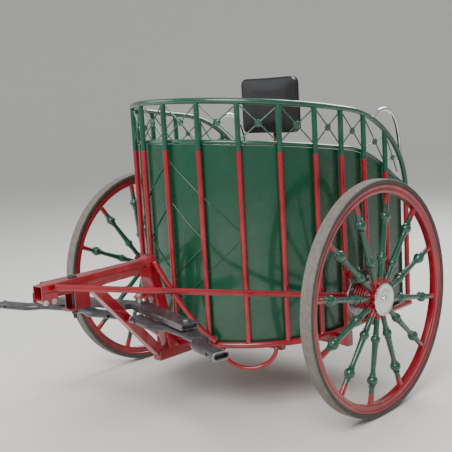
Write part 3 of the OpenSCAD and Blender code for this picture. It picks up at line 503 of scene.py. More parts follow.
def late(y):
    return np.maximum(y - body["sweepY"], 0) / (body["rearPostY"] - body["sweepY"])


def midHeight(y):
    return body["midZ"] - body["midFall"] * (y - noseFront) - body["midDroop"] * late(y) ** 2


topDrop = body["topZ"] - body["topFall"] * (body["rearPostY"] - noseFront) - body["topEndZ"]


def topHeight(y):
    return body["topZ"] - body["topFall"] * (y - noseFront) - topDrop * (1 - np.sqrt(1 - np.minimum(late(y), 1) ** 2))


def lift(xy, z):
    return np.concatenate([xy, np.broadcast_to(np.asarray(z, float), xy.shape[:1])[:, None]], -1)


def makeBody():
    b = body
    # base ring: a U of round tube, straight at the sides, plugged at the back
    s = np.linspace(-noseLength, noseLength, 121)
    ringPath = np.vstack([[[-b["halfWidth"], b["rearPostY"] + 0.018, b["ringZ"]]], lift(planPoint(s), b["ringZ"]),
                          [[b["halfWidth"], b["rearPostY"] + 0.018, b["ringZ"]]]])
    parts = [tube(ringPath, b["ringR"] - 0.0002, m=24)]
    for side in (-1, 1):
        parts.append(turned([(0, 0.0), (0, 0.0135), (0.0025, 0.012), (0.0032, 0.0)],
                            (side * b["halfWidth"], b["rearPostY"] + 0.0155, b["ringZ"]), (0, 1, 0), 24))
    makePiece("baseRing", parts, ["red"], "chassis", ["base_ring"])
    cross = [tube(straight((-b["halfWidth"] + 0.013, b["rearPostY"], b["ringZ"]), (b["halfWidth"] - 0.013, b["rearPostY"], b["ringZ"]), 12),
                  b["ringR"] - 0.0004, m=24)]
    cross += [weld((side * (b["halfWidth"] - 0.0145), b["rearPostY"], b["ringZ"]), (1, 0, 0), 0.0148, 0.0028) for side in (-1, 1)]
    makePiece("rearCrossbar", cross, ["red"], "chassis", ["rear_crossbar"])

    # staves: one tube each, red below and green in the gallery, with a bead at every joint
    stations = np.arange(-(b["bays"] - 1), b["bays"]) * bay
    at = planPoint(stations)
    normals = planNormal(stations)
    red, green = [], []
    for (x, y), n in zip(at, normals):
        split = midHeight(y) - b["paintDrop"]
        red.append(tube(straight((x, y, b["ringZ"] + 0.012), (x, y, split), 8), b["staveR"], (1, 0, 0), 22))
        red.append(weld((x, y, b["ringZ"] + 0.0165), (0, 0, 1), b["staveR"] - 0.0005, 0.0033))
        green.append(tube(straight((x, y, split - 0.0004), (x, y, topHeight(y) - 0.004), 8), b["staveR"] + 0.00015, (1, 0, 0), 22))
        green.append(weld((x, y, topHeight(y) - b["topR"] - 0.0012), (0, 0, 1), b["staveR"] - 0.0012, 0.0028))
        inner = np.array([x, y]) - n * (b["staveR"] + 0.0006)
        green.append(ball((inner[0], inner[1], midHeight(y)), 0.0062, m=14, n=9))
    makePiece("redStaves", red, ["red"], "chassis", ["staves"])
    makePiece("greenPosts", green, ["green"], "chassis", ["gallery_posts"])
    rear = []
    for side in (-1, 1):
        x, y = side * b["halfWidth"], b["rearPostY"]
        rear.append(tube(straight((x, y, b["ringZ"] + 0.012), (x, y, b["topEndZ"] - 0.0305), 8), b["topR"], (1, 0, 0), 24))
        rear.append(weld((x, y, b["ringZ"] + 0.0165), (0, 0, 1), b["topR"] - 0.001, 0.0036))
    makePiece("rearPosts", rear, ["red"], "chassis", ["rear_posts"])

    # middle rail, just inside the staves; its ends turn out to meet the rear posts
    railEnd = b["rearPostY"] - b["topR"] - 0.012
    off = -(b["staveR"] + 0.0003 + b["midR"])
    s = np.linspace(0, noseLength + railEnd - b["noseY"], 120)
    y = planPoint(s)[:, 1]
    turnOut = 1 - (np.maximum(y - railEnd + 0.06, 0) / 0.06) ** 2 * 0.7
    half = planPoint(s) + planNormal(s) * (off * turnOut)[:, None]
    half = lift(half, midHeight(y))
    path = np.vstack([half[:0:-1] * [-1, 1, 1], half])
    normal = np.vstack([planNormal(s)[:0:-1] * [-1, 1], planNormal(s)])
    makePiece("midRail", [tube(path, b["midR"] - 0.0001, lift(normal, 0.0), 20)], ["green"], "chassis", ["mid_rail"])

    # top rail: an even fall to the rear, then a quarter turn down into the rear posts
    s = np.linspace(0, noseLength, 60)
    q = np.linspace(0, 1, 50) * math.pi / 2
    yLate = b["sweepY"] + (b["rearPostY"] - b["sweepY"]) * np.sin(q)
    yFlat = np.linspace(b["noseY"] + 0.02, b["sweepY"] - 0.01, 8)
    half = np.vstack([lift(planPoint(s), topHeight(planPoint(s)[:, 1])),
                      np.stack([np.full(8, b["halfWidth"]), yFlat, topHeight(yFlat)], -1),
                      np.stack([np.full(50, b["halfWidth"]), yLate, topHeight(yLate)], -1),
                      [[b["halfWidth"], b["rearPostY"], b["topEndZ"] - 0.03]]])
    normal = np.vstack([lift(planNormal(s), 0.0), np.tile([1.0, 0, 0], (59, 1))])
    path = np.vstack([half[:0:-1] * [-1, 1, 1], half])
    normal = np.vstack([normal[:0:-1] * [-1, 1, 1], normal])
    parts = [tube(path, b["topR"] - 0.0001, normal, 24)]
    for side in (-1, 1):
        parts.append(weld((side * b["halfWidth"], b["rearPostY"], b["topEndZ"] - 0.03), (0, 0, 1), b["topR"] - 0.0008, 0.0022))
    makePiece("topRail", parts, ["green"], "chassis", ["top_rail"])
    print("rails and staves made")


def rosette(centre, axis, radius, half):
    # turned on both faces: rolled rim, groove, dome and a small centre button
    face = [(0.62, 1.0), (0.9, 0.965), (1.0, 0.9), (0.9, 0.82), (0.55, 0.74), (0.6, 0.62), (0.85, 0.48), (1.0, 0.34),
            (1.04, 0.24), (0.95, 0.2), (1.2, 0.14), (1.28, 0.06), (1.28, 0.0)]
    rows = [(h * half, r * radius) for h, r in face]
    return turned([(-h, r) for h, r in rows[::-1]] + rows, centre, axis, 36)


def makeGallery():
    b = body
    parts = []
    for side in (-1, 1):
        for k in range(b["bays"]):
            p1, p2 = planPoint(np.array([k, k + 1]) * bay)
            last = k == b["bays"] - 1
            d = (p2 - p1) / np.linalg.norm(p2 - p1)
            a = p1 + d * (b["staveR"] + 0.0024)
            e = p2 - d * (0.078 if last else b["staveR"] + 0.0024)
            slope = (topHeight(a[1] - 0.005) - topHeight(a[1] + 0.005)) / 0.01
            za = topHeight(a[1]) - (b["topR"] + 0.007) * math.sqrt(1 + slope * slope)
            zb = midHeight(e[1]) + 0.022 if last else midHeight(p2[1]) + b["midR"] + 0.008
            zc = midHeight(p1[1]) + b["midR"] + 0.008
            zd = topHeight(e[1]) - 0.034 if last else topHeight(p2[1]) - b["topR"] - (0.018 if k == b["bays"] - 2 else 0.010)
            flip = np.array([side, 1, 1])
            lean = np.array([d[1], -d[0], 0]) * flip
            for z0, z1, gap in ((za, zb, 0.0016), (zc, zd, -0.0016)):
                rod = straight((a[0], a[1], z0), (e[0], e[1], z1), 9) * flip
                rod = rod + lean * (gap * np.sin(np.linspace(0, math.pi, 9)))[:, None]
                parts.append(tube(rod, 0.003, lean, 12, domed=True))
            w = (za - zc) / ((za - zc) + (zd - zb))
            m = a + (e - a) * w
            centre = np.array([m[0] * side, m[1], za + (zb - za) * w])
            parts.append(rosette(centre, (d[1] * side, -d[0], 0), 0.0136 if last else 0.017, 0.0042))
    makePiece("galleryLattice", parts, ["green"], "chassis", ["gallery_lattice"], angle=50)

    # nested diamonds: round wire bent over each stave, level with the next by an even rise
    wires, clips = [], []
    off = -(b["staveR"] + 0.0003 + 0.0025)
    for s0, z0, s1, z1 in ((0, 1.203, 2, 0.862), (0, 1.010, 1, 0.826), (2, 0.845, 0, 0.511), (1, 0.814, 0, 0.655)):
        for side in (-1, 1):
            f = np.linspace(0, 1, 40)
            s = side * (s0 + (s1 - s0) * f) * bay + 1e-9 * side
            wires.append(tube(lift(planPoint(s, off), z0 + (z1 - z0) * f), 0.0024, (0, 0, 1), 12, domed=True))
    for k, z in ((0, 1.203), (0, 1.010), (0, 0.655), (0, 0.511), (1, 1.032), (1, 0.820), (1, 0.678), (2, 0.853)):
        for side in ((1,) if k == 0 else (-1, 1)):
            p = planPoint(side * k * bay)
            n = planNormal(side * k * bay + 1e-9)
            at = (p[0] + n[0] * b["staveR"], p[1] + n[1] * b["staveR"], z)
            clips.append(turned([(-0.001, 0.0046), (0.0004, 0.0046), (0.0016, 0.0042), (0.0026, 0.003), (0.0031, 0.0014), (0.0032, 0.0)],
                                at, (n[0], n[1], 0), 18))
    makePiece("latticeWires", wires, ["green"], "chassis", ["lattice_wires"])
    makePiece("latticeClips", clips, ["red"], "chassis", ["lattice_clips"])
    print("gallery and lattice made")


def makeSheet():
    # one curved steel sheet with a rolled top edge, a lapped seam at each side, and a folded foot
    b = body
    outer = -(b["staveR"] + 0.0003 + 0.005 + 0.0003)
    back = b["rearPostY"] - b["ringR"] - 0.002 - b["noseY"]
    s = np.concatenate([-noseLength - np.linspace(back, 0.01, 20), np.linspace(-noseLength, noseLength, 161),
                        noseLength + np.linspace(0.01, back, 20)])
    y = planPoint(s)[:, 1]
    slope = b["midFall"] + 2 * b["midDroop"] * late(y) / (b["rearPostY"] - b["sweepY"])
    top = midHeight(y) - b["midR"] * 1.02 * np.sqrt(1 + slope ** 2) - 0.0006
    foot = b["ringZ"] + 0.0073
    n = planNormal(s)
    rows = [(0.0002, 0.0), (0.0, 0.001), (0.0, 0.004), (0.0, 0.5), (0.0, 0.996), (0.0, 0.999), (0.0006, 1.0), (0.0018, 1.0),
            (0.0022, 0.999), (0.0022, 0.996), (0.0022, 0.5), (0.0022, 0.004), (0.0022, 0.001), (0.0018, 0.0)]
    rings = np.stack([np.concatenate([planPoint(s) + n * (outer - depth), (foot + (top - foot) * f)[:, None]], -1)
                      for depth, f in rows], 1)
    parts = [skin(rings)]
    for side in (-1, 1):
        at = planPoint(side * (noseLength + 0.04)) * 1.0
        x = at[0] - side * 0.0201
        zt = float(midHeight(at[1])) - 0.02
        lap = np.array([(-0.011, 0.0), (0.011, 0.0), (0.011, 0.0016), (-0.011, 0.0016)])
        strip = [(x - side * q[1] * 1.0, at[1] + q[0]) for q in lap]
        rings = np.stack([[(px, py, z) for px, py in strip] for z in (foot + 0.002, zt)])
        parts.append(skin(rings))
        for z in np.arange(foot + 0.05, zt, 0.085):
            parts.append(turned([(0, 0.004), (0.0008, 0.0038), (0.0018, 0.0026), (0.0022, 0.0)],
                                (x - side * 0.0016, at[1], z), (-side, 0, 0), 12))
    makePiece("bodySheet", parts, ["sheet"], "chassis", ["side_panel"])


def makeDeck():
    # plywood deck cut to the ring, held by round-head bolts
    b = body
    s = np.linspace(-noseLength, noseLength, 97)
    edge = np.vstack([planPoint(s, -b["ringR"] - 0.0008), [[b["halfWidth"] - 0.0158, b["rearPostY"] - b["ringR"] - 0.0005],
                                                          [-b["halfWidth"] + 0.0158, b["rearPostY"] - b["ringR"] - 0.0005]]])
    top = b["ringZ"] + 0.007
    deck = slab(edge, top - 0.0149, top, ((1, 0, 0), (0, 1, 0), (0, 0, 1)))
    bolts = [turned([(-0.002, 0.009), (0.0004, 0.009), (0.0016, 0.0076), (0.0026, 0.004), (0.0029, 0.0)], (x, y, top), (0, 0, 1), 20, 1)
             for x, y in ((-0.35, 0.33), (0.35, 0.33), (-0.38, 0.0), (0.38, 0.0), (0.0, 0.0), (-0.24, -0.25), (0.24, -0.25), (0.0, 0.56))]
    makePiece("deckBoard", [deck] + bolts, ["ply", "zinc"], "chassis", ["floor_board"], angle=30)


def makeHandles():
    # polished tube bent in a hoop over the rear of each side, with a collar at both feet
    pts = np.array([(0.368, 1.325), (0.388, 1.335), (0.412, 1.349), (0.440, 1.363), (0.470, 1.371), (0.503, 1.372), (0.532, 1.364),
                    (0.558, 1.348), (0.582, 1.322), (0.601, 1.290), (0.614, 1.252), (0.622, 1.212), (0.626, 1.172), (0.626, 1.132),
                    (0.620, 1.096)])
    x = 0.5327
    for side, name in ((1, "left"), (-1, "right")):
        path = resample(np.column_stack([np.full(len(pts), side * x), pts]), 90)
        parts = [tube(path, 0.0104, (1, 0, 0), 24, domed=True)]
        for k in (3, 86):
            d = path[k + 1] - path[k]
            parts.append(turned([(-0.006, 0.0098), (-0.006, 0.0114), (-0.0045, 0.0122), (0.0045, 0.0122), (0.006, 0.0114), (0.006, 0.0098)],
                                path[k], d, 28))
        makePiece(name + "GrabHandle", parts, ["chrome"], "chassis", [name + "_grab_handle"])


makeBody()
makeGallery()
makeSheet()
makeDeck()
makeHandles()


# drawbar truss
drawbar = {"tipY": -1.262, "tipZ": 0.732, "chordZ": 0.742, "uprightY": -0.678, "side": 0.060, "brace": 0.040,
           "lowZ": 0.2837, "beamTop": 0.3337, "lowY": -0.558, "corner": 0.006, "wall": 0.004}


def atY(y, z, x=0.0):
    return np.array([x, y, z], float)


def makeDrawbar():
    d = drawbar
    chordA, chordB = atY(d["tipY"], d["tipZ"]), atY(d["uprightY"] + 0.010, d["chordZ"] + 0.001)
    run = (chordB - chordA) / np.linalg.norm(chordB - chordA)
    # the chord: square tube, mouth open for the pole; its butt stops on the upright's face
    leanDir = atY(d["lowY"] - d["uprightY"], d["beamTop"] - 0.010 - (d["chordZ"] + 0.036))
    leanDir /= np.linalg.norm(leanDir)
    across = np.array([0, leanDir[2], -leanDir[1]])
    upA = atY(d["uprightY"], d["chordZ"] + 0.036)
    face = upA - np.sign(across[1]) * across * (d["side"] / 2 + 0.0003)
    n = across * np.sign(across[1])
    outer, inner = roundedBox(d["side"], d["side"], d["corner"]), roundedBox(d["side"] - 2 * d["wall"], d["side"] - 2 * d["wall"], 0.003)
    up = np.cross(run, (1, 0, 0))
    def cut(section, pointOn):
        base = chordA + section[:, :1] * np.array([1.0, 0, 0]) + section[:, 1:] * up
        step = ((pointOn - base) @ n) / (run @ n)
        return base + step[:, None] * run
    mouth = chordA + outer[:, :1] * np.array([1.0, 0, 0]) + outer[:, 1:] * up
    lip = chordA + run * 0.0006 + inner[:, :1] * np.array([1.0, 0, 0]) + inner[:, 1:] * up
    parts = [skin(np.stack([lip + run * 0.35, lip, mouth + run * 0.0008 * 0, mouth + run * 0.2, cut(outer, face)]))]
    for k in np.linspace(0, 1, 2):
        pass
    makePiece("drawbarChord", parts, ["red"], "chassis", ["drawbar_chord"], angle=50)

    # upright: leaning square tube, capped on top, coped on the lower beam, weld at the chord
    upB = atY(d["lowY"], d["beamTop"] - 0.010)
    sec = roundedBox(d["side"] - 0.0002, d["side"] - 0.0002, d["corner"])
    base = upA + sec[:, :1] * np.array([1.0, 0, 0]) + sec[:, 1:] * across
    foot = base + leanDir * ((d["beamTop"] + 0.0004 - base[:, 2]) / leanDir[2])[:, None]
    dome = upA + leanDir * 0.0 + (sec * 0.96)[:, :1] * np.array([1.0, 0, 0]) + (sec * 0.96)[:, 1:] * across - leanDir * 0.0
    parts = [skin(np.stack([dome, base + leanDir * 0.0015, base + leanDir * 0.2, foot]))]
    joint = roundedBox(d["side"] + 0.003, d["side"] + 0.003, 0.008, 8)
    seam = upA + leanDir * 0.039 - n * (d["side"] / 2) + joint[:, :1] * np.array([1.0, 0, 0]) + joint[:, 1:] * leanDir
    parts.append(beadAlong(seam, 0.0028, n))
    low = roundedBox(d["side"] - 0.008, d["side"] + 0.002, 0.006, 8)
    seam = atY(d["lowY"] - 0.001, d["beamTop"] + 0.0022) + low[:, :1] * np.array([1.0, 0, 0]) + low[:, 1:] * np.array([0, 1.0, 0])
    parts.append(beadAlong(seam, 0.0026, np.array([0, 0, 1.0])))
    makePiece("drawbarUpright", parts, ["red"], "chassis", ["drawbar_upright"], angle=50)

    # inclined brace, both ends cut to lie on the chord and the upright's foot
    softenedCopy("drawbar_brace", ["red"], "chassis", 0.0028)
    softenedCopy("drawbar_beam", ["red"], "chassis", 0.0035)
    softenedCopy("drawbar_gussets", ["red"], "chassis", 0.0008)
    softenedCopy("pole_bracket", ["red"], "chassis", 0.0012)
    softenedCopy("tip_lugs", ["red"], "chassis", 0.0016)
    softenedCopy("evener_bracket", ["red"], "chassis", 0.0012)


def beadAlong(loop, size, normal, mat=0, ripple=0.14):
    # weld bead along a closed loop of points, rippled by the welder's steps
    loop = np.asarray(loop, float)
    run = np.concatenate([[0], np.cumsum(np.linalg.norm(np.diff(np.vstack([loop, loop[:1]]), axis=0), axis=1))])
    s = np.linspace(0, run[-1], 97)[:-1]
    closed = np.vstack([loop, loop[:1]])
    path = np.stack([np.interp(s, run, closed[:, k]) for k in range(3)], -1)
    tangent = np.roll(path, -1, 0) - np.roll(path, 1, 0)
    tangent /= np.linalg.norm(tangent, axis=1)[:, None]
    side = np.cross(tangent, normal)
    q = np.arange(6) / 6 * 2 * math.pi
    beat = size * (1 + ripple * np.sin(s / 0.0042 * 2 * math.pi))
    rings = path[:, None] + side[:, None] * (beat[:, None] * np.cos(q))[..., None] + np.asarray(normal) * (beat[:, None] * np.sin(q))[..., None]
    return skin(rings, mat, closed=True)


def makeTipHardware():
    # plated bolts through the tip lugs: hexagon heads, washers, thread showing past the nuts
    parts = []
    for y in (-1.251, -1.210):
        for side in (-1, 1):
            x = side * 0.0363
            parts.append(turned([(0, 0.005), (0, 0.0125), (0.0014, 0.0125), (0.0018, 0.0115), (0.0018, 0.004)], (x, y, 0.694), (side, 0, 0), 28))
            parts.append(hexHead((x + side * 0.0018, y, 0.694), (side, 0, 0), 0.0185, 0.0062))
        parts.append(tube(straight((-0.0447, y, 0.694), (0.0447, y, 0.694)), 0.0048, (0, 0, 1), 20))
    makePiece("tipBolts", parts, ["zinc"], "chassis", ["tip_bolts"], angle=25)
    # pole pin: domed cap, shank, castle nut and split pin
    top = 0.7654
    y = -1.088
    parts = [turned([(0.0, 0.0), (0.0, 0.019), (0.001, 0.020), (0.003, 0.0202), (0.006, 0.0178), (0.0085, 0.012), (0.0093, 0.0)], (0, y, top), (0, 0, 1), 40),
             tube(straight((0, y, 0.5905), (0, y, top + 0.001), 4), 0.0079, (1, 0, 0), 28)]
    parts.append(turned([(0.0, 0.0142), (0.0, 0.0172), (0.0022, 0.0172), (0.0022, 0.0142)], (0, y, 0.6295), (0, 0, 1), 32))
    parts.append(hexHead((0, y, 0.6295), (0, 0, -1), 0.0245, 0.0135))
    for k in range(6):
        a = k * math.pi / 3
        c, s = math.cos(a), math.sin(a)
        tooth = roundedBox(0.0062, 0.0048, 0.0008, 3)
        path = straight((c * 0.0096, y + s * 0.0096, 0.6166), (c * 0.0096, y + s * 0.0096, 0.6093))
        parts.append(prism(path, tooth, (c, s, 0)))
    legs = resample([(-0.019, y + 0.0012, 0.6142), (-0.012, y + 0.0012, 0.6138), (0.010, y + 0.0012, 0.6138), (0.0165, y + 0.004, 0.6125), (0.0185, y + 0.0095, 0.612)], 30)
    parts.append(tube(legs, 0.0014, (0, 0, 1), 10, 1, domed=True))
    legs = resample([(-0.019, y - 0.0012, 0.6132), (-0.012, y - 0.0012, 0.6136), (0.010, y - 0.0012, 0.6136), (0.015, y - 0.005, 0.614), (0.016, y - 0.0115, 0.615)], 30)
    parts.append(tube(legs, 0.0014, (0, 0, 1), 10, 1, domed=True))
    makePiece("polePin", parts, ["blackSteel", "zinc"], "chassis", ["pole_pin"], angle=28)
    # evener bolt with spacer
    y, z = -0.728, 0.548
    parts = [tube(straight((0, y, z - 0.0275), (0, y, z + 0.0615)), 0.0079, (1, 0, 0), 28),
             hexHead((0, y, z - 0.0103), (0, 0, -1), 0.0225, 0.0115), hexHead((0, y, z + 0.0603), (0, 0, 1), 0.0225, 0.0088),
             turned([(0, 0.006), (0, 0.0117), (0.001, 0.0119), (0.0243, 0.0119), (0.0253, 0.0117), (0.0253, 0.006)], (0, y, z + 0.0263), (0, 0, 1), 32)]
    makePiece("evenerBolt", parts, ["zinc"], "chassis", ["evener_bolt"], angle=25)


def makeStays():
    diagonal = np.array([(0.046, -0.668, 0.760), (0.072, -0.640, 0.685), (0.098, -0.611, 0.611), (0.126, -0.580, 0.540), (0.152, -0.550, 0.478),
                         (0.176, -0.524, 0.430), (0.198, -0.503, 0.398), (0.216, -0.488, 0.379), (0.2222, -0.4829, 0.3726)])
    stay = np.array([(0.046, -1.205, 0.750), (0.300, -0.822, 0.689), (0.455, -0.597, 0.650), (0.480, -0.557, 0.643), (0.497, -0.515, 0.636),
                     (0.515, -0.435, 0.621), (0.623, -0.0243, 0.537)])
    for side, name in ((1, "left"), (-1, "right")):
        flip = np.array([side, 1, 1])
        path = resample(diagonal, 60) * flip
        end = path[-1]
        parts = [tube(path, 0.0124, (0.7 * side, 0.7, 0), 22, domed=True)]
        parts.append(weld(end + (path[-1] - path[-2]) * 0.2, path[-1] - path[-3], 0.0112, 0.0026))
        parts.append(weld(path[0] + (path[1] - path[0]) * 0.6, path[1] - path[0], 0.0118, 0.0026))
        makePiece(name + "Diagonal", parts, ["red"], "chassis", [name + "_diagonal"])
        path = resample(stay, 150) * flip
        # keep the long runs dead straight: only the bend near the body is eased
        first = straight(stay[0], stay[2], 40)
        bend = resample(np.vstack([stay[2] - (stay[2] - stay[1]) * 0.06, stay[2:5], stay[4] + (stay[5] - stay[4]) * 0.2]), 24)
        last = straight(stay[4] + (stay[5] - stay[4]) * 0.3, stay[6], 40)
        path = np.vstack([first[:-3], bend, last]) * flip
        parts = [tube(path, 0.0134, (0, 0, 1), 24, domed=True)]
        parts.append(weld(path[-1], path[-1] - path[-2], 0.0126, 0.0028))
        parts.append(weld(path[0], path[1] - path[0], 0.0126, 0.0026))
        makePiece(name + "SideStay", parts, ["red"], "chassis", [name + "_side_stay"])
    # hoop under the near front of the ring
    def hoopEnd(deg):
        t = math.radians(deg)
        return np.array([body["halfWidth"] * math.sin(t), body["noseY"] - body["noseDepth"] * math.cos(t), 0])
    a, b = hoopEnd(26), hoopEnd(52)
    c, d = (a + b) / 2, (b - a) / 2
    q = np.linspace(0, math.pi, 70)
    zTop = body["ringZ"] - body["ringR"] - 0.0013
    path = c - d * np.cos(q)[:, None]
    path[:, 2] = zTop - 0.098 * np.sin(q)
    parts = [tube(path, 0.0099, np.array([d[1], -d[0], 0]) / np.linalg.norm(d), 22)]
    parts += [weld((p[0], p[1], zTop - 0.001), (0, 0, 1), 0.0098, 0.0026) for p in (a, b)]
    makePiece("stepHoop", parts, ["red"], "chassis", ["step_hoop"])


makeDrawbar()
makeTipHardware()
makeStays()
print("drawbar made")


# evener and singletrees
def makeHitch():
    softenedCopy("evener_bar", ["grey"], "evener", 0.0035)
    pins = []
    for side in (-1, 1):
        x, y = side * 0.413, -0.83866
        pins.append(tube(straight((x, y, 0.5005), (x, y, 0.5785)), 0.0058, (1, 0, 0), 24))
        pins.append(turned([(0, 0.006), (0, 0.0155), (0.0008, 0.016), (0.0066, 0.016), (0.0074, 0.0155), (0.0074, 0.006)], (x, y, 0.5403), (0, 0, 1), 32))
        pins.append(hexHead((x, y, 0.5743), (0, 0, 1), 0.0205, 0.0085))
        pins.append(hexHead((x, y, 0.5117), (0, 0, -1), 0.019, 0.0097))
    makePiece("evenerPins", pins, ["zinc"], "evener", ["evener_pins"], angle=25)
    for side, name in ((1, "left"), (-1, "right")):
        softenedCopy(name + "_singletree", ["grey"], name + "_tree", 0.0016)
        # bare steel round the worn end sleeves
        lean = math.radians(15)
        along = np.array([side * math.cos(lean), -math.sin(lean), 0])
        across = np.array([side * math.sin(lean), math.cos(lean), 0])
        worn = []
        for end in (-1, 1):
            centre = np.array([side * 0.413, -0.83866, 0.526]) + along * end * (0.362 - 0.0026) + across * treeOffset
            loop = ovalLoop(0.0715, 0.0295, 44)
            path = centre + loop[:, :1] * across + loop[:, 1:] * np.array([0, 0, 1.0])
            worn.append(beadAlong(path, 0.0022, along, ripple=0.0))
        makePiece(name + "TreeEnds", worn, ["bare"], name + "_tree")
    print("hitch made")


def ovalLoop(w, h, n):
    # stadium outline, w long and h high
    q = np.linspace(-math.pi / 2, math.pi / 2, n // 2)
    right = np.stack([(w - h) / 2 + h / 2 * np.cos(q), h / 2 * np.sin(q)], -1)
    return np.vstack([right, -right])


# wheels: everything is laid out on a wheel at the origin, outer side towards +X
wheel = {"track": 0.794, "axleZ": 0.540, "tyreR": 0.540, "tyreWall": 0.518, "tyreHalf": 0.030, "rimOut": 0.5177, "rimIn": 0.4777,
         "spokes": 12, "ballAt": 0.373, "ballR": 0.025, "beadAt": 0.186, "beadR": 0.022, "drum": 0.062, "cap": 0.074,
         "nearTurn": 10.7, "farTurn": 8.0}


def rounded(points, r, n=4):
    # closed outline with each corner replaced by a small curve
    p = np.asarray(points, float)
    rows = []
    for k in range(len(p)):
        a, b, c = p[k - 1], p[k], p[(k + 1) % len(p)]
        u, v = a - b, c - b
        lu, lv = np.linalg.norm(u), np.linalg.norm(v)
        cut = min(r, lu * 0.45, lv * 0.45)
        p0, p2 = b + u / lu * cut, b + v / lv * cut
        for t in np.linspace(0, 1, n):
            rows.append((1 - t) ** 2 * p0 + 2 * t * (1 - t) * b + t * t * p2)
    return np.array(rows)


def arc(at, r, low, high, n=12):
    # part of a ball's outline, from half width low before its centre to half width high after it
    q = np.linspace(-math.acos(low / r), math.acos(high / r), n)
    return [(at + r * math.sin(v), r * math.cos(v)) for v in q]


def collar(at, r, inner, w=0.005):
    return [(at - w / 2 - 0.0002, inner), (at - w / 2, r - 0.0012), (at - w / 4, r - 0.0002), (at, r), (at + w / 4, r - 0.0002), (at + w / 2, r - 0.0012), (at + w / 2 + 0.0002, inner)]


def onWheel(part, side):
    verts, faces, mat = part
    return verts * [side, 1, 1] + [side * wheel["track"], 0, wheel["axleZ"]], faces, mat


